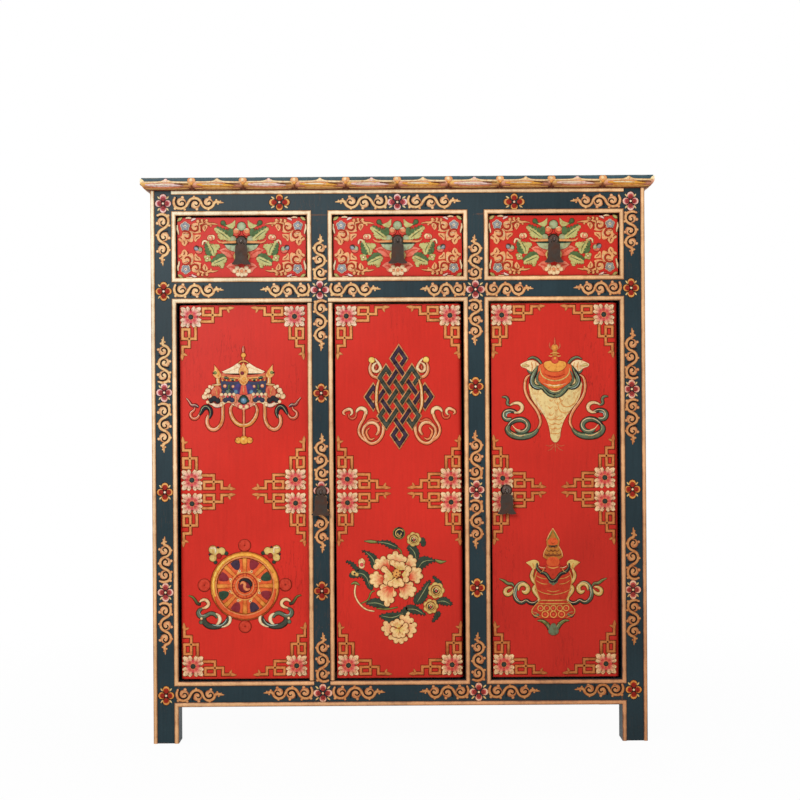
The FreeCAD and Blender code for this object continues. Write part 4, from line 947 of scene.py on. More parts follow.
UPPER_JEWELS, LOWER_JEWELS = (-25, -12.5, 0, 12.5, 25), (-16, 0, 16)
VASE = outlined(mirrored((
    area("straw", (-53, 47, 0), (-44, 51), (-34, 52), (-27, 46), (-32, 38), (-38, 34), (-44, 40)),
    line("straw", (-38, 34, 2.4), (-42, 22, 3.8), (-39, 12, 3.6), (-33, 4, 4), (-38, -4, 4),
         (-34, -13, 4), (-28, -22, 3.2), (-30, -30, 1.6)),
    line("ink>teal", (-29, -26, 1.8), (-36, -32, 3.6), (-45, -31.5, 3.6), (-52, -27, 3.6),
         (-61, -31, 3.8), (-70, -27, 3.8), (-75, -17, 3.8), (-74, -5, 3.6), (-69, 4, 3),
         (-60, 8.5, 2.6), (-52, 6, 2)),
    line("straw", (-68, -8, 1), (-66, 1, 3), (-60, 5, 3.6), (-53, 3, 4), (-49, -4, 4.8),
         (-54, -11, 4.6), (-61, -8, 1.6), level=1),
    line("straw", (-80, -1, 1.2), (-88, -2, 3.2), (-94, -9, 4.2), (-90, -15, 4.2), (-82, -12, 3.4),
         (-78, -5, 1)),
    line("teal>moss", (-76, 0, 1), (-80, 5.5, 2.8), (-88, 6.5, 3), (-96, 12, 2.6),
         (-105, 16, 0.6)),
    line("moss", (-24, -58, 2), (-33, -52, 4), (-43, -49, 0.8)),
    line("teal", (-28, -54, 2), (-35, -57, 3.2), (-41, -53, 0.8), level=1),
    line("teal>moss", (-6, -84, 4), (-12, -74, 4), (-21, -67, 3.2), (-31, -66, 0.8), level=1),
)) + (
    area("tile", (-30, 34), (-36, 16), (-34, 0), (-31, -12), (-25, -26, 0), (25, -26, 0),
         (31, -12), (34, 0), (36, 16), (30, 34), level=1),
    area("tile", (-26, -26, 0), (26, -26, 0), (35, -36), (42, -50), (24, -62, 0), (-24, -62, 0),
         (-42, -50), (-35, -36)),
    area("bronze", (0, 114, 0), (-7, 102), (-13, 90), (-12, 79), (-18, 67), (-19, 58), (-12, 53),
         (-10, 44, 0), (10, 44, 0), (12, 53), (19, 58), (18, 67), (12, 79), (13, 90), (7, 102),
         level=1),
    area("teal", (-9, -91), (9, -91), (7, -79), (0, -71), (-7, -79), level=2),
)) + mirrored((
    line("ink", (-31, 46, 1.4), (-31, 37, 2.8), (-25, 29, 3.6), (-15, 25, 3.8), (-9, 18, 3.4),
         (-4, 12, 3.6), (0, 11, 3.8), level=4),
    line("teal", (-30, 38, 0.6), (-24, 29.5, 1.2), (-14, 26, 1.2), (-7, 17, 0.9), level=5),
    line("tile", (-28, 40, 2), (-22, 36, 4), (-14, 36, 3), level=4),
    *strokes("old_gilt", 3, ((-30, 34, 0.8), (-36, 16, 1.1), (-34, 0, 1.1), (-31, -12, 1),
              (-25, -26, 0.8)),
             ((-26, -27, 0.8), (-35, -36, 1.1), (-42, -50, 1.1), (-25, -61, 0.8)),
             ((-33, 22, 0.6), (-24, 17, 1.1), (-12, 15, 0.6)),
             ((-33, 12, 0.6), (-22, 6, 1), (-11, 5, 0.6)),
             ((-32, -6, 0.5), (-20, -12, 0.9), (0, -16, 0.9))),
    line("old_gilt", (-18, 38, 0.6), (-20, 31, 1), (-26, 27, 0.6), level=5),
    *[arc("brown", 4, 0.7, 180, 360, level=3, centre=(u, v)) for u, v in (
        (-4, 66), (-12, 66), (0, 73), (-8, 73), (-4, 80), (0, 88))],
    *strokes("rim", 3, ((-13, 90, 0.6), (-7, 102, 1), (0, 114, 0.6)),
             ((-19, 58, 0.6), (-17, 68, 1), (-11, 79, 0.6))),
    line("ochre", (-40, 46, 0.6), (-38, 41, 1.2), (-38, 36, 0.6), level=3),
    line("brown", (-16, 62, 0.8), (-8, 60, 1.2), (0, 61, 1), level=3),
    line("moss", (-10, 92, 0.8), (-6, 100, 1.8), (-1, 109, 0.8), level=3),
    line("sky", (-66, -28, 0.5), (-73, -17, 1), (-71, -2, 0.5), level=3),
    line("moss", (-8, -70, 0.6), (-14, -72, 1.2), (-24, -66.5, 0.6), level=4),
)) + (
    area("flame", (-9, 84), (-8, 92), (0, 95), (8, 92), (9, 84), (0, 81), level=3),
    line("ink", (-9, 80, 0.8), (0, 78.5, 1.8), (9, 80, 0.8), level=3),
    area("flame", (-9, 56), (0, 58), (9, 56), (12, 44), (0, 40), (-12, 44), level=3),
    line("ochre", (-11, 39, 0.8), (0, 36, 1.6), (11, 39, 0.8), level=4),
    area("teal", (-9, 12), (0, 2, 0), (9, 12), (0, 9), level=3),
    *strokes("old_gilt", 3, ((-25, -26.5, 1.2), (0, -27, 1.6), (25, -26.5, 1.2)),
             ((-31, -33, 1.2), (0, -33.5, 1.6), (31, -33, 1.2)),
             ((-12, -7, 0.6), (0, -10, 1.2), (12, -7, 0.6))),
    *[ring("old_gilt", 5.2, 1.2, level=3, centre=(u, -42)) for u in UPPER_JEWELS],
    *[ring("ochre", 6, 1.3, level=3, centre=(u, -54)) for u in LOWER_JEWELS],
    disc("coral", *[(u, -42, 2.6) for u in UPPER_JEWELS], level=3),
    disc("coral", *[(u, -54, 3.2) for u in LOWER_JEWELS], level=3),
)


def corner_bloom(up):
    """The blue and white flower in a drawer's corner, and the leaves behind it."""
    return outlined((
        line("lime", (-14, 10 * up, 1.4), (-10, 13 * up, 3.4), (-5, 16 * up, 1.2)),
        *strokes("cream", 0, ((1, 15 * up, 1.2), (7, 16 * up, 2.1), (12, 14.6 * up, 1)),
                 ((-14, 3 * up, 1.2), (-14.4, -4 * up, 2.1), (-12.6, -10 * up, 1.8),
                  (-12, -15 * up, 1))),
        line("bloom", (11, 10 * up, 1.2), (15, 13 * up, 2.4), (20, 14 * up, 1)),
        line("peach", (9, -9 * up, 1.2), (3, -11.6 * up, 2.4), (-4, -10.6 * up, 1.2)),
    ), "brick", 0.5) + turned((disc("white", (4.6, 0, 4.8), level=1),
                               disc("mist", (4.4, 0, 3.8), level=2)), 5, 90 * up) + (
        disc("white", (0, 0, 2.7), level=3), disc("ink", (0, 0, 1.1), level=4),
    )


CORNER_SCROLL = outlined((
    area("honey", (-115, 29), (-108, 33), (-100, 33), (-94.6, 27.6), (-93.8, 18), (-97, 10.6),
         (-103, 12), (-106.5, 8), (-111, 3.2), (-116.4, 7, 0), (-118, 12), (-123, 14.6),
         (-121, 20.6), (-117, 22.6)),
    area("honey", (-98, 44), (-90.4, 48.4), (-84, 46.6), (-79.6, 38), (-79, 30, 0), (-86, 28),
         (-95, 29.8), (-99.6, 36)),
    area("honey", (-92.2, 24.8, 0), (-86, 25.6), (-79, 25.2, 0), (-81, 19.4), (-86, 16.4),
         (-90, 11.4), (-92, 14, 0)),
    line("honey", (-86, 45, 3), (-78, 48.6, 3.8), (-70.4, 49, 3.5), (-63.5, 46, 2.9),
         (-56.4, 46.6, 2), (-46, 44.8, 0.6)),
    area("honey", (-76.6, 40), (-71.4, 45), (-66, 42), (-68, 37), (-72, 31, 0), (-75.4, 35)),
    disc("honey", (-84.6, 51.6, 3.6), (-77, 53.4, 2.8), (-68, 53, 2.9), (-60, 42.4, 2)),
), "brick", 0.7) + (
    *strokes("brick", 4, ((-115, 32.4, 1.2), (-107, 32.4, 1.7), (-100.4, 27, 1.9),
              (-101.6, 20, 1.8), (-107.4, 18.2, 1.7), (-111, 21.6, 0.9)),
             ((-99, 44.4, 1.2), (-98.6, 37.4, 1.8), (-93.6, 32.8, 1.8), (-87.6, 33.2, 1.8),
              (-84.6, 38.2, 1.6), (-87.2, 42.2, 1.3), (-91, 40, 0.8)),
             ((-79, 32, 1), (-78, 41, 1.5), (-73.4, 45.8, 1.5), (-67.6, 46.2, 0.8)),
             ((-74.8, 53, 0.8), (-72.6, 49.4, 1.2), (-69.8, 50, 0.6)),
             ((-82, 54, 0.8), (-80, 49.6, 1.2), (-77.6, 49.6, 0.6)),
             ((-123, 20, 0.6), (-118.4, 19, 1.1), (-116, 16, 0.6)),
             ((-105.6, 7, 0.6), (-104.4, 11.6, 1.1), (-106, 14, 0.6))),
    *strokes("ember", 4, ((-114, 14, 0.4), (-111.4, 11.6, 0.9), (-111, 7, 0.4)),
             ((-89.6, 16, 0.4), (-87, 20, 0.8), (-82.6, 22.6, 0.4)),
             ((-72, 35, 0.4), (-70.6, 39, 0.8), (-71.4, 43, 0.4)),
             ((-81, 50, 0.4), (-83.4, 47, 0.8), (-83, 41, 0.4))),
    *strokes("cream", 4, ((-111.6, 25.6, 0.5), (-108.6, 26.6, 1), (-105, 25, 0.5)),
             ((-94.6, 42, 0.5), (-91.4, 43.6, 1), (-87.6, 43.6, 0.5)),
             ((-97.4, 27.6, 0.5), (-96.4, 22.6, 1), (-97, 17, 0.5))),
)
BLOOM_SIZE = 1.06
DRAWER_HALF = (
    doubled(CORNER_SCROLL)
    + moved(corner_bloom(1), -110, 41.5, BLOOM_SIZE, up=2)
    + moved(corner_bloom(-1), -109, -42, BLOOM_SIZE, up=2)
    + outlined((
        line("pink", (-103, -54, 1.8), (-92, -54, 1.8)),
        line("cream", (-76.4, 5, 1.6), (-74, 12.4, 2.3), (-68.4, 11.6, 2), (-69.4, 6.6, 1.6)),
        disc("petal", (-61.4, 19, 5.8), (-57, 19.6, 5.6)),
        disc("blush", (-83.4, -4.6, 7.6)), disc("mist", (-88, -1, 5.2), level=1),
        disc("sage", (-81, -3.4, 4.4), level=1),
        line("slate", (-91, 2.6, 0.8), (-86, 1.6, 1.5), (-83.6, -2.4, 0.8), level=2),
        disc("green", (-36, 48, 5), (-32, 44, 3)), disc("sage", (-17, 16, 7), level=1),
    ), "brick", 0.7) + outlined((
        disc("coral", (-10, 29.6, 8.4)), disc("peach", (-10.6, 32, 6), level=1),
        disc("blush", (-60, 18, 5), level=1), disc("cream", (-61, 20, 2.6), level=2),
    ), "brick", 0.5)
    + outlined((
        *toothed("green", (-50, 40), (-38, 37.5), (-26, 33), (-20, 39), (-20, 20), (-30, 26)),
        *toothed("green", (-70, 9), (-62, -2), (-56, -13), (-68, -14), (-71, -3)),
        *toothed("green", (-60, -29), (-52, -18), (-44, -12), (-30, -17), (-40, -22), (-52, -26)),
        *toothed("lime", (-53, 38), (-42, 34), (-32, 27), (-21, 14), (-32, 15), (-43, 17),
                 (-46, 26), level=1),
        *toothed("lime", (-67, 13), (-60, 4), (-54, 6), (-42, 3), (-48, -5), (-54, -17),
                 (-60, -7), (-65, 3), level=1),
        *toothed("lime", (-59, -34), (-48, -24), (-29, -20), (-33, -30), (-39, -41), (-42, -34),
                 (-51, -35), level=1),
        area("lime", (-12, 54, 0), (-20, 47), (-31, 43, 0), (-24, 38), (-15, 38), level=1),
        disc("lime", (-70.4, -18.4, 3.8), (-65, -17.4, 3.8), (-68.4, -24, 4), (-63, -23.4, 3.6)),
        disc("cream", (-66.8, -20.8, 2.2), level=3),
        area("blush>coral", (-44, -5, 0), (-30, 0), (-14, -6), (-12, -18), (-24, -20), (-34, -14)),
        area("blush>coral", (-31, -38, 0), (-20, -30), (-8, -32), (-8, -44), (-18, -50),
             (-24, -42)),
    ), grow=0.5)
    + (
        *strokes("coral", 2, ((-38, -6, 0.8), (-26, -8, 1.8), (-18, -16, 0.8)),
                 ((-26, -38, 0.8), (-18, -38, 1.8), (-12, -44, 0.8))),
        *strokes("green", 3, ((-46, 32, 0.4), (-36, 25, 0.9), (-26, 17, 0.4)),
                 ((-62, 5, 0.4), (-56, -3, 0.9), (-54, -12, 0.4)),
                 ((-54, -31, 0.4), (-44, -27, 0.9), (-33, -22, 0.4))),
        line("coral", (-14, 26, 1.6), (-10, 24, 2.6), (-5, 27, 1.6), level=3),
        line("cream", (-14, 35, 0.8), (-9, 36, 1.4), (-5, 33, 0.8), level=3),
        line("peach>ochre", (-48, 15, 0.8), (-43, 10.5, 2), (-26, 10, 2.6), (0, 11, 2.8),
             level=4),
        line("pine", (-35, 6.5, 0.8), (-26, 6, 1.6), (0, 5.5, 1.8), level=5),
    )
)
DRAWER = mirrored(DRAWER_HALF) + outlined((
    area("sage", (-33, 5, 0), (-27, -3), (-14, -8), (0, -9), (14, -8), (27, -3), (33, 5, 0),
         level=3),
    disc("sage", (0, 41, 9), level=1),
)) + (
    disc("cream", (-9, -40, 4.6), (-14, -46, 4.6), (-7, -52, 5), (0, -45, 6.5), (7, -52, 5),
         (14, -46, 4.6), (9, -40, 4.6), (0, -54, 4), level=3),
    disc("peach", (0, -46, 3.6), (-8, -47, 2.4), (8, -47, 2.4), level=4),
) + mirrored((
    line("straw", (-10, -8, 1), (-14, -16, 2.4), (-12, -26, 1), level=3),
))


# Where the motifs go, in millimetres from the middle of the front and from the floor

RIGHT, LEFT, UP, DOWN = 0, 180, 90, 270
SCROLL_START = 18                                # millimetres from a flower's centre
SCROLLS = (                                      # x and z of the flower, the way, the size
    (-456, 1051, DOWN, 1.0), (-456, 1051, RIGHT, 0.97), (-456, 881, RIGHT, 0.96),
    (-456, 682, UP, 0.89), (-456, 682, DOWN, 0.95), (-456, 294, UP, 0.88),
    (-456, 294, DOWN, 1.0), (-456, 93, RIGHT, 0.92),
    (454, 1050, DOWN, 0.86), (454, 1050, LEFT, 0.96), (454, 881, LEFT, 0.91),
    (454, 684, UP, 0.98), (454, 684, DOWN, 0.87), (454, 293.5, UP, 1.0),
    (454, 293.5, DOWN, 0.87), (454, 99, LEFT, 0.94),
    (0, 1051, LEFT, 1.0), (0, 1051, RIGHT, 1.02),
    (-152, 881, UP, 0.88), (-152, 881, LEFT, 0.95), (-152, 881, RIGHT, 0.975),
    (-151, 96, LEFT, 0.945), (-151, 96, RIGHT, 1.0),
    (151, 880, UP, 0.86), (151, 880, LEFT, 0.87), (151, 880, RIGHT, 0.92),
    (151, 880, DOWN, 0.88), (150.5, 490, UP, 0.95), (150.5, 490, DOWN, 0.94),
    (152.5, 98, UP, 0.935), (152.5, 96.5, LEFT, 0.94), (152.5, 96.5, RIGHT, 0.98),
)
STILE_SCROLLS = (                                # on the stile that the left door carries
    (-151.5, 881, DOWN, 0.98), (-151.5, 490, UP, 0.91), (-151.5, 490, DOWN, 1.0),
    (-151.5, 98, UP, 0.95),
)
INNER_UPRIGHTS = 300                             # within this distance of the middle


def paint_scrolls(art, places):
    """Scrolls that leave their flowers in the ways named, each pair turned to mirror itself."""
    for x, z, way, size in places:
        angle = math.radians(way)
        flip_down = (abs(x) > INNER_UPRIGHTS) == (x < 0)
        flip = {RIGHT: False, LEFT: True, DOWN: flip_down, UP: not flip_down}[way]
        shapes = tuple(s._replace(points=[
            (u * size, v * SCROLL_WIDTH, r * SCROLL_WIDTH) for u, v, r in s.points])
            for s in SCROLL)
        art.stamp(flipped(shapes) if flip else shapes, x + SCROLL_START * math.cos(angle),
                  z + SCROLL_START * math.sin(angle), way)


FLOWER_COATS = 0.55                              # so an open door's flowers clear its beads
PETAL_COATS = 3                                  # their folds are thicker than a coat of paint
PETAL_ROWS = (                                   # name, side, half length, petals
    ("front_petals", 0, BODY_SIDE + SIDE_REACH, 10),
    ("right_petals", 1, BODY_FRONT + FRONT_REACH, 4),
    ("left_petals", -1, BODY_FRONT + FRONT_REACH, 4),
)
EMBLEMS = (                                      # name, door, motif, x and z of its centre
    ("parasol", "door_left", lit(PARASOL), -302, 670), ("wheel", "door_left", WHEEL, -302, 305),
    ("endless_knot", "door_middle", lit(KNOT), 1, 672),
    ("peony", "door_middle", lit(PEONY), 0, 300),
    ("conch", "door_right", lit(CONCH), 305, 670), ("vase", "door_right", lit(VASE), 299, 300),
)
DRAWERS = (("drawer_left", -304), ("drawer_middle", 0), ("drawer_right", 304))
DRAWER_HEIGHT = 965                              # z of the paintings' centres
# x of each door's outer flowers, z of their rows, and whether a row's fret hangs from its flowers
DOOR_COLUMNS = {"door_left": (-404, -202), "door_middle": (-101, 101), "door_right": (202, 401)}
DOOR_ROWS = ((830, True), (149, False), (512, False), (466, True))


def fret_runs(side, hangs):
    """The runs of fret that leave a flower: inward, and up or down along the door's edge."""
    inward = FRET if hangs else flipped(FRET)
    upright_run = tuple(s._replace(points=[(-v, u, r) for u, v, r in s.points]) for s in FRET)
    if hangs:
        upright_run = flipped(upright_run)
    made = inward + upright_run
    return made if side > 0 else flipped(made, across=True, up=False)


# Nodes for the materials

def set_inputs(tree, node, inputs):
    """Joins each named input to the socket given for it, or sets it to the plain value."""
    for name, value in inputs.items():
        if isinstance(value, bpy.types.NodeSocket):
            tree.links.new(value, node.inputs[name])
        else:
            node.inputs[name].default_value = value


def add_node(tree, kind, inputs=None, **settings):
    """A shader node whose inputs are given as sockets to join or as plain values."""
    node = tree.nodes.new("ShaderNode" + kind)
    for name, value in settings.items():
        setattr(node, name, value)
    set_inputs(tree, node, inputs or {})
    return node


def maths(tree, operation, *values, clamp=False):
    """One step of arithmetic on the values."""
    node = add_node(tree, "Math", dict(enumerate(values)), operation=operation, use_clamp=clamp)
    return node.outputs[0]


def multiplied(tree, *values, clamp=False):
    """The product of the values, kept between 0 and 1 if asked."""
    product = values[0]
    for i, value in enumerate(values[1:], 2):
        product = maths(tree, "MULTIPLY", product, value, clamp=clamp and i == len(values))
    return product


def mixed(tree, share, one, two, blend="MIX"):
    """The first colour gone the given share of the way to the second, or blended with it."""
    node = add_node(tree, "Mix", {0: share, 6: one, 7: two}, data_type="RGBA", blend_type=blend)
    return node.outputs[2]


def ranged(tree, value, low, high, to_low=0.0, to_high=1.0):
    """The value rescaled from one range to another, and kept inside it."""
    node = add_node(tree, "MapRange", {0: value, 1: low, 2: high, 3: to_low, 4: to_high})
    return node.outputs[0]


def on_object(tree):
    """The place on the object, in metres."""
    return add_node(tree, "TexCoord").outputs["Object"]


def object_axes(tree):
    """The place on the object as X, Y and Z."""
    return add_node(tree, "SeparateXYZ", {0: on_object(tree)}).outputs


def noise(tree, scale, detail=3, stretch=(1, 1, 1)):
    """Soft noise between 0 and 1, stretched along the object's axes."""
    place = add_node(tree, "Mapping", {"Vector": on_object(tree), "Scale": stretch})
    node = add_node(tree, "TexNoise", {"Vector": place.outputs[0], "Scale": scale,
                                       "Detail": detail, "Roughness": 0.55})
    return node.outputs[0]


def swing(tree, value, low=-1, high=1):
    """Noise spread out so that nearly all of it lies between low and high."""
    return ranged(tree, value, 0.3, 0.7, low, high)


# Painted shade: how deep it is by the middle of the floor line, and for each metre right and up
SHADE_BASE, SHADE_ACROSS, SHADE_UP = 0.888, 0.5, -0.632


def painted_shade_ramp(tree):
    """Painted shade: 0 at the upper left of the front, where the light falls, and 1 at the lower
    right.
    """
    place = object_axes(tree)
    across = maths(tree, "MULTIPLY_ADD", place["X"], SHADE_ACROSS, SHADE_BASE)
    return maths(tree, "MULTIPLY_ADD", place["Z"], SHADE_UP, across)


def colour4(code):
    """A colour written as #RRGGBB, for a colour socket."""
    return (*linear(code), 1.0)


def three_tones(tree, value, stops, colours):
    """A colour that goes from the first to the second to the third as the value passes stops."""
    first = mixed(tree, ranged(tree, value, stops[0], stops[1]), *map(colour4, colours[:2]))
    return mixed(tree, ranged(tree, value, stops[1], stops[2]), first, colour4(colours[2]))


AGED_PAINT, RUBBED_EDGE, WOOD_GRAIN = "Aged paint", "Rubbed edge", "Wood grain"


def effect(name, inputs, outputs):
    """An empty node group with the named sockets, and its input and output nodes."""
    tree = bpy.data.node_groups.new(name, "ShaderNodeTree")
    for label, kind, default in inputs:
        socket = tree.interface.new_socket(label, in_out="INPUT", socket_type="NodeSocket" + kind)
        socket.default_value = default
    for label, kind in outputs:
        tree.interface.new_socket(label, in_out="OUTPUT", socket_type="NodeSocket" + kind)
    return tree, tree.nodes.new("NodeGroupInput").outputs, tree.nodes.new("NodeGroupOutput").inputs


def make_aged_paint():
    """Brushed paint gone uneven with age: streaks, fine cracks and small chips to the wood."""
    tree, given, put = effect(AGED_PAINT, (
        ("Colour", "Color", (0.5, 0.5, 0.5, 1)), ("Chip Colour", "Color", (0.1, 0.05, 0.03, 1)),
        ("Blotches", "Float", 0.2), ("Cracks", "Float", 0.5), ("Chips", "Float", 0.3),
    ), (("Colour", "Color"), ("Roughness", "Float"), ("Height", "Float")))
    join = tree.links.new
    blotch = swing(tree, noise(tree, 7, 4))
    streak = swing(tree, noise(tree, 40, 3, (5, 5, 0.3)))
    grain = swing(tree, noise(tree, 420, 2))
    uneven = maths(tree, "ADD", maths(tree, "MULTIPLY", blotch, 0.6),
                   maths(tree, "ADD", maths(tree, "MULTIPLY", streak, 0.35),
                         maths(tree, "MULTIPLY", grain, 0.25)))
    bright = maths(tree, "MULTIPLY_ADD", uneven, given["Blotches"], 1.0)
    shade = add_node(tree, "HueSaturation", {"Color": given["Colour"], "Value": bright})
    hair = maths(tree, "ABSOLUTE", maths(tree, "SUBTRACT", noise(tree, 26, 3, (5, 5, 0.45)), 0.5))
    crack = ranged(tree, hair, 0.004, 0.014, 1, 0)
    patches = ranged(tree, noise(tree, 9, 3, (1, 1, 0.6)), 0.5, 0.68)
    crack = multiplied(tree, crack, patches, given["Cracks"], clamp=True)
    flake = ranged(tree, noise(tree, 160, 4), 0.66, 0.72)
    flake = multiplied(tree, flake, patches, given["Chips"], clamp=True)
    worn = maths(tree, "MAXIMUM", crack, flake)
    join(mixed(tree, worn, shade.outputs[0], given["Chip Colour"]), put["Colour"])
    join(maths(tree, "MULTIPLY_ADD", worn, 0.3, ranged(tree, uneven, -1, 1, 0.4, 0.6)),
         put["Roughness"])
    join(maths(tree, "MULTIPLY_ADD", worn, -1, maths(tree, "MULTIPLY", streak, 0.25)),
         put["Height"])


def make_rubbed_edge():
    """A mask that is 1 on edges that hands and cloths have rubbed."""
    tree, given, put = effect(RUBBED_EDGE, (
        ("Width", "Float", 0.003), ("Amount", "Float", 0.7),
    ), (("Mask", "Float"),))
    soft = add_node(tree, "Bevel", {"Radius": given["Width"]}, samples=4)
    sharp = add_node(tree, "NewGeometry")
    alike = add_node(tree, "VectorMath", {0: soft.outputs[0], 1: sharp.outputs["Normal"]},
                     operation="DOT_PRODUCT")
    edge = ranged(tree, alike.outputs["Value"], 0.98, 0.8)
    broken = ranged(tree, noise(tree, 55, 4), 0.4, 0.6)
    tree.links.new(multiplied(tree, edge, broken, given["Amount"], clamp=True), put["Mask"])


def make_wood_grain():
    """Long grain with darker summer wood, along the axis that is stretched least."""
    tree, given, put = effect(WOOD_GRAIN, (
        ("Stretch", "Vector", (1, 12, 12)), ("Pale", "Color", (0.5, 0.3, 0.16, 1)),
        ("Dark", "Color", (0.2, 0.1, 0.05, 1)),
    ), (("Colour", "Color"), ("Height", "Float")))
    place = add_node(tree, "VectorMath", {0: on_object(tree), 1: given["Stretch"]},
                     operation="MULTIPLY").outputs[0]
    fibre = add_node(tree, "TexNoise", {"Vector": place, "Scale": 22, "Detail": 6,
                                        "Roughness": 0.65})
    band = add_node(tree, "TexNoise", {"Vector": place, "Scale": 4, "Detail": 2,
                                       "Distortion": 1.2})
    share = maths(tree, "ADD", swing(tree, fibre.outputs[0], 0, 0.55),
                  ranged(tree, band.outputs[0], 0.35, 0.65, 0, 0.45))
    tree.links.new(mixed(tree, share, given["Pale"], given["Dark"]), put["Colour"])
    tree.links.new(share, put["Height"])


def use_effect(tree, name, inputs):
    """The outputs of a shared effect with its inputs joined or set."""
    return add_node(tree, "Group", inputs, node_tree=bpy.data.node_groups[name]).outputs


def aged(tree, colour, chip, blotches, cracks, chips):
    """The outputs of aged paint of one colour, which chips to another."""
    return use_effect(tree, AGED_PAINT, {"Colour": colour, "Chip Colour": colour4(chip),
                                         "Blotches": blotches, "Cracks": cracks, "Chips": chips})


def new_material(name):
    """A material, its node tree and its Principled BSDF."""
    material = bpy.data.materials.new(name)
    material.use_nodes = True
    tree = material.node_tree
    shader = next(n for n in tree.nodes if n.type == "BSDF_PRINCIPLED")
    return material, tree, shader


def surface(tree, shader, colour, roughness, height, depth=0.0005, strength=0.4):
    """Joins a finish to the shader: its colour, its roughness and the relief of its height."""
    bump = add_node(tree, "Bump", {"Height": height, "Strength": strength, "Distance": depth})
    set_inputs(tree, shader, {"Base Color": colour, "Roughness": roughness,
                              "Normal": bump.outputs[0]})


SHARP_CHANGE = 0.0002                            # metres in which one paint gives way to another


def make_painted(name, colour, chip, blotches, cracks, chips, rub, ends=None):
    """A painted wood material with its edges rubbed to the colour of rub.

    Below and above the two heights of ends, where the pivots sit in their gaps, they are painted
    near black as painted shade.
    """
    material, tree, shader = new_material(name)
    paint = aged(tree, (*colour, 1), chip, blotches, cracks, chips)
    dark = painted_shade_ramp(tree)
    # Painted sheen: a pale veil towards the upper left, where the light falls
    shown = mixed(tree, ranged(tree, dark, 0.4, 0.05, 0, 0.03), paint["Colour"],
                  colour4("#F4FAFF"))
    # Painted shade: darker towards the lower right
    shown = mixed(tree, ranged(tree, dark, 0.65, 0.85, 0, 0.2), shown, colour4("#0A0400"))
    edge = use_effect(tree, RUBBED_EDGE, {"Width": 0.004, "Amount": 0.75})
    shown = mixed(tree, edge["Mask"], shown, colour4(rub))
    if ends:
        # Painted shade: the pivots in the gaps above and below the leaves are painted near black
        height, (low, high) = object_axes(tree)["Z"], ends
        pivot_shade = maths(tree, "MAXIMUM", ranged(tree, height, low, low - SHARP_CHANGE),
                       ranged(tree, height, high, high + SHARP_CHANGE))
        shown = mixed(tree, pivot_shade, shown, colour4("#140806"))
    surface(tree, shader, shown, paint["Roughness"], paint["Height"])
    shader.inputs["Specular IOR Level"].default_value = 0.14
    return material


def make_brush_paint(name, tones):
    """The ornament's paint: each shape carries its own colours, toned by painted shade to the lower
    right.
    """
    material, tree, shader = new_material(name)
    shape = add_node(tree, "Attribute", attribute_name="paint")
    # Painted shade: the colours brown and darken towards the lower right, away from the light
    painted_shade_tint = three_tones(tree, painted_shade_ramp(tree), (0.2, 0.55, 1.0), tones)
    patch = mixed(tree, ranged(tree, noise(tree, 170), 0.48, 0.66, 0, 0.55),
                  colour4("#FFFFFF"), colour4("#D89A6A"))
    toned = mixed(tree, 1, shape.outputs["Color"], painted_shade_tint, "MULTIPLY")
    paint = aged(tree, mixed(tree, 1, toned, patch, "MULTIPLY"), "#5A2018", 0.14, 0.35, 0.3)
    surface(tree, shader, paint["Colour"], paint["Roughness"], paint["Height"])
    shader.inputs["Specular IOR Level"].default_value = 0.18
    return material


BEAD_CREST = (0.0023, 0.0033)                    # metres over the face where it starts, and is full
# Where the painted shade at a bead's root starts, and is full, in metres over the face
BEAD_ROOT_SHADE = (0.0022, 0.0008)


def make_gilt_bead():
    """Ochre beads, a cream painted highlight on the crest, and warmer painted shade to the lower
    right.
    """
    material, tree, shader = new_material("gilt_bead")
    ragged = maths(tree, "MULTIPLY", swing(tree, noise(tree, 60, 4)), 0.0004)
    depth = maths(tree, "ADD", object_axes(tree)["Y"], ragged)
    crest = ranged(tree, depth, *(FRONT_FACE - rise for rise in BEAD_CREST))
    root = ranged(tree, depth, *(FRONT_FACE - rise for rise in BEAD_ROOT_SHADE))
    dark = painted_shade_ramp(tree)
    # Painted shade: the sides darken towards the lower right, and go near black at the root
    side = three_tones(tree, dark, (0, 0.5, 1), ("#D09458", "#B0703C", "#6E3E20"))
    side = mixed(tree, root, side, colour4("#3A1C12"))
    # Painted highlight along the crest, palest at the upper left
    crest_highlight = three_tones(tree, dark, (0, 0.5, 1), ("#FFF4D2", "#F8C288", "#CE8E5C"))
    paint = aged(tree, mixed(tree, crest, side, crest_highlight), "#6A2A1C", 0.3, 0.3, 0.7)
    surface(tree, shader, paint["Colour"], paint["Roughness"], paint["Height"])
    return material


CARVED_PITCH = 0.1                               # metres of edge to each petal's colour
CARVED_CHANGE = 0.005                            # from its border, where the colours mix
CARVED_FRONT = (-0.19, -0.195)                   # y where the sides' petals end, the front's start
CARVED_FOOT_SHADE = (1.0815, 1.0785)                 # z where the painted shade at the foot starts, and is full
CARVED_SHADE = (1.086, 1.0815)
CARVED_RIM = (1.0892, 1.0902)


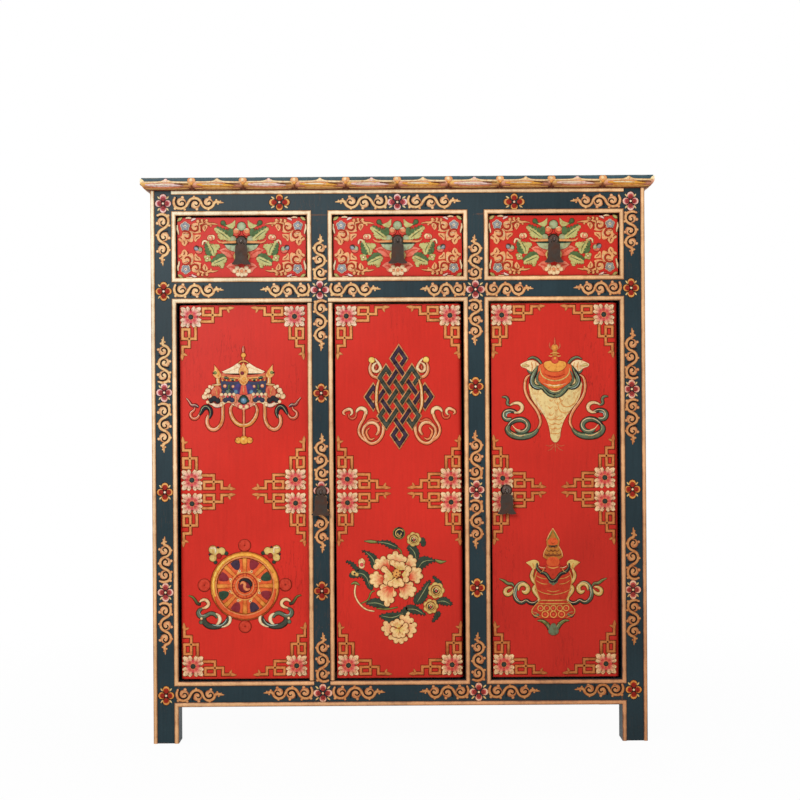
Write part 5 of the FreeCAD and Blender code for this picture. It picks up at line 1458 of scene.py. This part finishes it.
def make_carved_petals():
    """The carved edge: petals by turns rose and yellow, painted shade low down, a cream rim and
    knobs.
    """
    material, tree, shader = new_material("carved_petals")
    place = object_axes(tree)
    along = mixed(tree, ranged(tree, place["Y"], *CARVED_FRONT), place["Y"], place["X"])
    along = maths(tree, "ADD", along, CARVED_PITCH / 2)
    turn = maths(tree, "WRAP", along, 2 * CARVED_PITCH, 0)
    from_middle = maths(tree, "ABSOLUTE", maths(tree, "SUBTRACT", turn, CARVED_PITCH))
    yellow = ranged(tree, from_middle, CARVED_PITCH / 2 - CARVED_CHANGE,
                    CARVED_PITCH / 2 + CARVED_CHANGE)
    petal = mixed(tree, yellow, colour4("#F0B08C"), colour4("#F2C06A"))
    # Painted shade on the lower part of the petals, and near brown at the foot under the bulge
    shade = ranged(tree, place["Z"], *CARVED_SHADE, 0, 0.7)
    colour = mixed(tree, shade, petal, colour4("#C0603A"))
    colour = mixed(tree, ranged(tree, place["Z"], *CARVED_RIM), colour, colour4("#FFE6B0"))
    colour = mixed(tree, ranged(tree, place["Z"], *CARVED_FOOT_SHADE), colour, colour4("#6A3020"))
    paint = aged(tree, colour, "#5A2418", 0.35, 0.3, 0.7)
    surface(tree, shader, paint["Colour"], paint["Roughness"], paint["Height"])
    return material


def make_bare_wood(name, stretch):
    """Bare wood whose grain runs along the axis that is stretched least."""
    material, tree, shader = new_material(name)
    grain = use_effect(tree, WOOD_GRAIN, {"Stretch": stretch, "Pale": colour4("#A9784C"),
                                          "Dark": colour4("#5E3A22")})
    surface(tree, shader, grain["Colour"], 0.7, grain["Height"])
    return material


def make_iron(name, dark, pale, smooth, shine, polish):
    """Hand-forged iron, dark in its hollows and polished where it is touched."""
    material, tree, shader = new_material(name)
    hammered = noise(tree, 120)
    rust = ranged(tree, noise(tree, 60, 5), 0.45, 0.65)
    edge = use_effect(tree, RUBBED_EDGE, {"Width": 0.0012, "Amount": 0.8})
    colour = mixed(tree, rust, colour4(dark), colour4("#4A2E20"))
    colour = mixed(tree, edge["Mask"], colour, colour4(pale))
    surface(tree, shader, colour, swing(tree, hammered, smooth, smooth + 0.2), hammered,
            depth=0.001, strength=0.5)
    set_inputs(tree, shader, {"Metallic": shine, "Coat Weight": polish})
    return material


TOP_PALENESS = 2.4                                   # how much paler the top's paint is than the frame's
PIVOT_REACH = 0.0164                             # of the doors' pivots beyond their leaves
LEAF_ENDS = (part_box("door_left_leaf")[0].z + PIVOT_REACH,
             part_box("door_left_leaf")[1].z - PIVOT_REACH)
RED_WEAR = ("#7A1A14", 0.12, 0.5, 0.25, "#5E1410")    # chip, blotches, cracks, chips, rubbed
# Bare wood with its grain across the width, and words in the names of wood that runs back
WIDE_WOOD = ("floor_board", "shelf_board", "back_rails")
DEEP_WOOD = ("runners", "guides", "kickers", "shelf_battens", "_sides", "_bottom")


def finish_of(name):
    """The finish of a carried-over part, by its name."""
    if "pull" in name:
        return "boss" if name.endswith("boss") else "iron"
    if name == "top_edge_moulding":
        return "petal"
    if "bead" in name:
        return "gilt"
    if name == "top_board":
        return "pale_top"
    if name.endswith("_leaf"):
        return "leaf_red"
    if name.endswith("_front"):
        return "red"
    if name in ("back_boards", "door_stops"):
        return "upright_wood"
    if any(word in name for word in DEEP_WOOD):
        return "deep_wood"
    if name in WIDE_WOOD or name.endswith("_battens"):
        return "long_wood"
    return "frame"


# The stage, in metres

KEY_PLACE, KEY_SIZE = (-1.5, -3.3, 2.5), 1.8
FILL_PLACE, FILL_SIZE = (3, -2.6, 1.3), 2.2
LIGHT_AIM = Vector((0, FRONT_FACE, 0.6))
SENSOR_WIDTH = 36                                # millimetres
FLOOR_RADIUS = 12
FLOOR_FADE = (0.5, 1.6)                          # from the middle, where it whitens
FLOOR_WHITE = (0.97, 1)                          # how white it is seen there
WHITE = (1, 1, 1, 1)


def add_lamp(name, place, size, power):
    """A round soft lamp that looks at the front."""
    lamp = bpy.data.lights.new(name, "AREA")
    lamp.shape = "DISK"
    lamp.size = size
    lamp.energy = power
    holder = bpy.data.objects.new(name, lamp)
    holder.location = place
    holder.rotation_euler = (LIGHT_AIM - Vector(place)).to_track_quat("-Z", "Y").to_euler()
    bpy.context.scene.collection.objects.link(holder)


def seen_straight(tree):
    """1 for rays that show the background: from the camera, or by way of gloss or glass."""
    path = add_node(tree, "LightPath")
    return maths(tree, "MAXIMUM", path.outputs["Is Camera Ray"],
                 maths(tree, "MAXIMUM", path.outputs["Is Glossy Ray"],
                       path.outputs["Is Transmission Ray"]))


def make_floor():
    """A pale floor that fades to white away from the sideboard and keeps its shadow."""
    made = bmesh.new()
    bmesh.ops.create_circle(made, cap_ends=True, segments=96, radius=FLOOR_RADIUS)
    mesh = bpy.data.meshes.new("floor")
    made.to_mesh(mesh)
    made.free()
    material, tree, shader = new_material("pale_floor")
    set_inputs(tree, shader, {"Base Color": (0.8, 0.8, 0.8, 1), "Roughness": 0.9,
                              "Specular IOR Level": 0})
    far = add_node(tree, "VectorMath", {0: on_object(tree)}, operation="LENGTH")
    white = ranged(tree, far.outputs["Value"], *FLOOR_FADE, *FLOOR_WHITE)
    share = maths(tree, "MULTIPLY", white, seen_straight(tree))
    glow = add_node(tree, "Emission", {"Color": WHITE, "Strength": 1})
    both = add_node(tree, "MixShader", {0: share, 1: shader.outputs[0], 2: glow.outputs[0]})
    output = next(n for n in tree.nodes if n.type == "OUTPUT_MATERIAL")
    tree.links.new(both.outputs[0], output.inputs["Surface"])
    mesh.materials.append(material)
    floor = bpy.data.objects.new("floor", mesh)
    bpy.context.scene.collection.objects.link(floor)


def make_room(strength):
    """Even light from all round, and plain white behind."""
    world = bpy.data.worlds.new("room")
    bpy.context.scene.world = world
    world.use_nodes = True
    tree = world.node_tree
    tree.nodes.clear()
    light = add_node(tree, "Background", {"Color": WHITE, "Strength": strength})
    white = add_node(tree, "Background", {"Color": WHITE, "Strength": 1})
    both = add_node(tree, "MixShader", {0: seen_straight(tree), 1: light.outputs[0],
                                        2: white.outputs[0]})
    output = tree.nodes.new("ShaderNodeOutputWorld")
    tree.links.new(both.outputs[0], output.inputs["Surface"])


# Settings a user would change

class SideboardPaintSettings(bpy.types.PropertyGroup):
    """Paints of the frame and of the ornament"""
    field_colour: FloatVectorProperty(
        name="Field Colour", description="Blue-green paint of the frame", subtype="COLOR",
        size=3, min=0, max=1, default=linear("#27383E"))
    panel_colour: FloatVectorProperty(
        name="Panel Colour", description="Red paint of the doors and drawers", subtype="COLOR",
        size=3, min=0, max=1, default=linear("#D63023"))
    coat_height: FloatProperty(
        name="Coat Height", description="How far each coat of the ornament stands out",
        default=0.0003, min=0.00005, max=0.001, precision=5, unit="LENGTH")
    curve_steps: IntProperty(
        name="Curve Steps", description="Steps between two points of a brush line",
        default=3, min=1, max=12)


class SideboardStageSettings(bpy.types.PropertyGroup):
    """Camera and lights"""
    camera_distance: FloatProperty(
        name="Camera Distance", description="From the camera to the front of the frame",
        default=3.0, min=1, max=20, unit="LENGTH")
    camera_height: FloatProperty(
        name="Camera Height", description="Height of the lens over the floor", default=0.6657,
        min=0, max=3, unit="LENGTH")
    camera_side: FloatProperty(
        name="Camera Side", description="How far the lens stands right of the middle",
        default=0.0027, min=-1, max=1, unit="LENGTH")
    camera_roll: FloatProperty(
        name="Camera Roll", description="Lean of the camera", default=math.radians(0.37),
        min=-0.5, max=0.5, unit="ROTATION")
    picture_width: FloatProperty(
        name="Picture Width", description="Width of the view at the front of the frame",
        default=1.5572, min=0.5, max=10, unit="LENGTH")
    key_power: FloatProperty(
        name="Key Light", description="Power of the soft light from the upper left",
        default=70, min=0, max=1000, unit="POWER")
    fill_power: FloatProperty(
        name="Fill Light", description="Power of the soft light from the right",
        default=8, min=0, max=1000, unit="POWER")
    room_light: FloatProperty(
        name="Room Light", description="Strength of the light from all round", default=0.48,
        min=0, max=5)


# Operators

class SIDEBOARD_OT_finishes(bpy.types.Operator):
    """Gives each carried-over part its paint, wood or metal"""
    bl_idname = "sideboard.finishes"
    bl_label = "Frame Finishes"

    def execute(self, context):
        paint = context.scene.sideboard_paint
        make_aged_paint()
        make_rubbed_edge()
        make_wood_grain()
        finishes = {
            "frame": make_painted("frame_paint", paint.field_colour, "#6A4A34", 0.3, 0.3, 0.5,
                                  "#8A5A3A"),
            "pale_top": make_painted("pale_top", [c * TOP_PALENESS for c in paint.field_colour],
                                     "#8A7A64", 0.4, 0.3, 0.6, "#B8AC98"),
            "red": make_painted("red_paint", paint.panel_colour, *RED_WEAR),
            "leaf_red": make_painted("leaf_paint", paint.panel_colour, *RED_WEAR, LEAF_ENDS),
            "gilt": make_gilt_bead(),
            "petal": make_carved_petals(),
            "upright_wood": make_bare_wood("upright_wood", (14, 14, 1)),
            "long_wood": make_bare_wood("long_wood", (1, 14, 14)),
            "deep_wood": make_bare_wood("deep_wood", (14, 1, 14)),
            "iron": make_iron("dark_iron", "#3C3028", "#7A665A", 0.5, 0.55, 0),
            "boss": make_iron("rubbed_iron", "#4A4038", "#C8BEB4", 0.2, 0.9, 0.7),
        }
        make_brush_paint("brush_paint", ("#FFFFFF", "#FFF4DC", "#F0DCB8"))
        # Stronger painted shade towards the lower right, for the scrolls, the left stile's painting
        # and the frets
        make_brush_paint("deep_shade_paint", ("#FFFFFF", "#F2D4C2", "#CCA78C"))
        for name, node in NODES.items():
            node.data.materials.clear()
            node.data.materials.append(finishes[finish_of(name)])
        return {"FINISHED"}


class SIDEBOARD_OT_frame_painting(bpy.types.Operator):
    """Paints the scrolls and small flowers of the frame"""
    bl_idname = "sideboard.frame_painting"
    bl_label = "Frame Painting"

    def execute(self, context):
        deep_shade = bpy.data.materials["deep_shade_paint"]
        art = Painting("frame_scrolls", upright(FRONT_FACE))
        paint_scrolls(art, SCROLLS)
        art.finish(deep_shade, "carcass")
        art = Painting("frame_rosettes", upright(FRONT_FACE))
        for x, z, petals, reach in ROSETTES:
            art.stamp(rosette(*petals, *reach), x, z)
        art.finish(bpy.data.materials["brush_paint"], "carcass")
        art = Painting("left_stile_painting", upright(STILE_FACE))
        paint_scrolls(art, STILE_SCROLLS)
        for x, z, petals, reach in STILE_ROSETTES:
            art.stamp(rosette(*petals, *reach), x, z)
        art.finish(deep_shade, "door_left")
        return {"FINISHED"}


class SIDEBOARD_OT_edge_petals(bpy.types.Operator):
    """Models the folds, rims and knobs of the carved edge's petals"""
    bl_idname = "sideboard.edge_petals"
    bl_label = "Edge Petals"

    def execute(self, context):
        for name, way, half, count in PETAL_ROWS:
            art = Painting(name, carved_edge(way), PETAL_COATS)
            pitch = 2 * half / count
            for i in range(count):
                art.stamp(EDGE_PETALS[i % 2], i * pitch - half, 0, scale=pitch / PETAL_LENGTH)
                if i:
                    art.stamp(EDGE_KNOB, i * pitch - half, 0)
            art.finish(bpy.data.materials["brush_paint"], "carcass")
        return {"FINISHED"}


class SIDEBOARD_OT_door_borders(bpy.types.Operator):
    """Paints the corner flowers and frets of the three doors"""
    bl_idname = "sideboard.door_borders"
    bl_label = "Door Borders"

    def execute(self, context):
        for door, (left, right) in DOOR_COLUMNS.items():
            frets = Painting(f"{door}_frets", upright(DOOR_FACE))
            flowers = Painting(f"{door}_flowers", upright(DOOR_FACE), FLOWER_COATS)
            for x, side in ((left, 1), (right, -1)):
                for z, hangs in DOOR_ROWS:
                    flowers.stamp(CORNER_FLOWER, x, z)
                    frets.stamp(fret_runs(side, hangs), x, z)
            frets.finish(bpy.data.materials["deep_shade_paint"], door)
            flowers.finish(bpy.data.materials["brush_paint"], door)
        return {"FINISHED"}


class SIDEBOARD_OT_emblems(bpy.types.Operator):
    """Paints the two emblems of each door"""
    bl_idname = "sideboard.emblems"
    bl_label = "Door Emblems"

    def execute(self, context):
        for name, door, motif, x, z in EMBLEMS:
            art = Painting(name, upright(DOOR_FACE))
            art.stamp(motif, x, z)
            art.finish(bpy.data.materials["brush_paint"], door)
        return {"FINISHED"}


class SIDEBOARD_OT_drawer_paintings(bpy.types.Operator):
    """Paints the fruit, leaves and scrolls of the drawers"""
    bl_idname = "sideboard.drawer_paintings"
    bl_label = "Drawer Paintings"

    def execute(self, context):
        for drawer, x in DRAWERS:
            art = Painting(f"{drawer}_painting", upright(DRAWER_FACE))
            art.stamp(DRAWER, x, DRAWER_HEIGHT)
            art.finish(bpy.data.materials["brush_paint"], drawer)
        return {"FINISHED"}


class SIDEBOARD_OT_stage(bpy.types.Operator):
    """Sets up the floor, the lights, the room and the camera"""
    bl_idname = "sideboard.stage"
    bl_label = "Stage"

    def execute(self, context):
        settings = context.scene.sideboard_stage
        make_floor()
        add_lamp("key", KEY_PLACE, KEY_SIZE, settings.key_power)
        add_lamp("fill", FILL_PLACE, FILL_SIZE, settings.fill_power)
        make_room(settings.room_light)
        camera = bpy.data.cameras.new("camera")
        camera.sensor_width = SENSOR_WIDTH
        camera.lens = camera.sensor_width * settings.camera_distance / settings.picture_width
        holder = bpy.data.objects.new("camera", camera)
        holder.location = (settings.camera_side, FRONT_FACE - settings.camera_distance,
                           settings.camera_height)
        holder.rotation_euler = (math.pi / 2, settings.camera_roll, 0)
        context.scene.collection.objects.link(holder)
        context.scene.camera = holder
        context.scene.view_settings.view_transform = "Standard"
        return {"FINISHED"}


class SIDEBOARD_PT_panel(bpy.types.Panel):
    """Lists the steps that dress the sideboard"""
    bl_label = "Sideboard"
    bl_idname = "SIDEBOARD_PT_panel"
    bl_space_type = "VIEW_3D"
    bl_region_type = "UI"
    bl_category = "Sideboard"

    def draw(self, context):
        for step in STEPS:
            self.layout.operator(step.bl_idname)
        for group in (context.scene.sideboard_paint, context.scene.sideboard_stage):
            for name in group.__annotations__:
                self.layout.prop(group, name)


STEPS = (SIDEBOARD_OT_finishes, SIDEBOARD_OT_edge_petals, SIDEBOARD_OT_frame_painting,
         SIDEBOARD_OT_door_borders, SIDEBOARD_OT_emblems, SIDEBOARD_OT_drawer_paintings,
         SIDEBOARD_OT_stage)
CLASSES = (SideboardPaintSettings, SideboardStageSettings, *STEPS, SIDEBOARD_PT_panel)


def register():
    for item in CLASSES:
        bpy.utils.register_class(item)
    bpy.types.Scene.sideboard_paint = PointerProperty(type=SideboardPaintSettings)
    bpy.types.Scene.sideboard_stage = PointerProperty(type=SideboardStageSettings)


def unregister():
    del bpy.types.Scene.sideboard_stage
    del bpy.types.Scene.sideboard_paint
    for item in reversed(CLASSES):
        bpy.utils.unregister_class(item)


def main():
    """Dresses the sideboard step by step."""
    register()
    for step in STEPS:
        category, name = step.bl_idname.split(".")
        getattr(getattr(bpy.ops, category), name)()


if __name__ == "__main__":
    main()
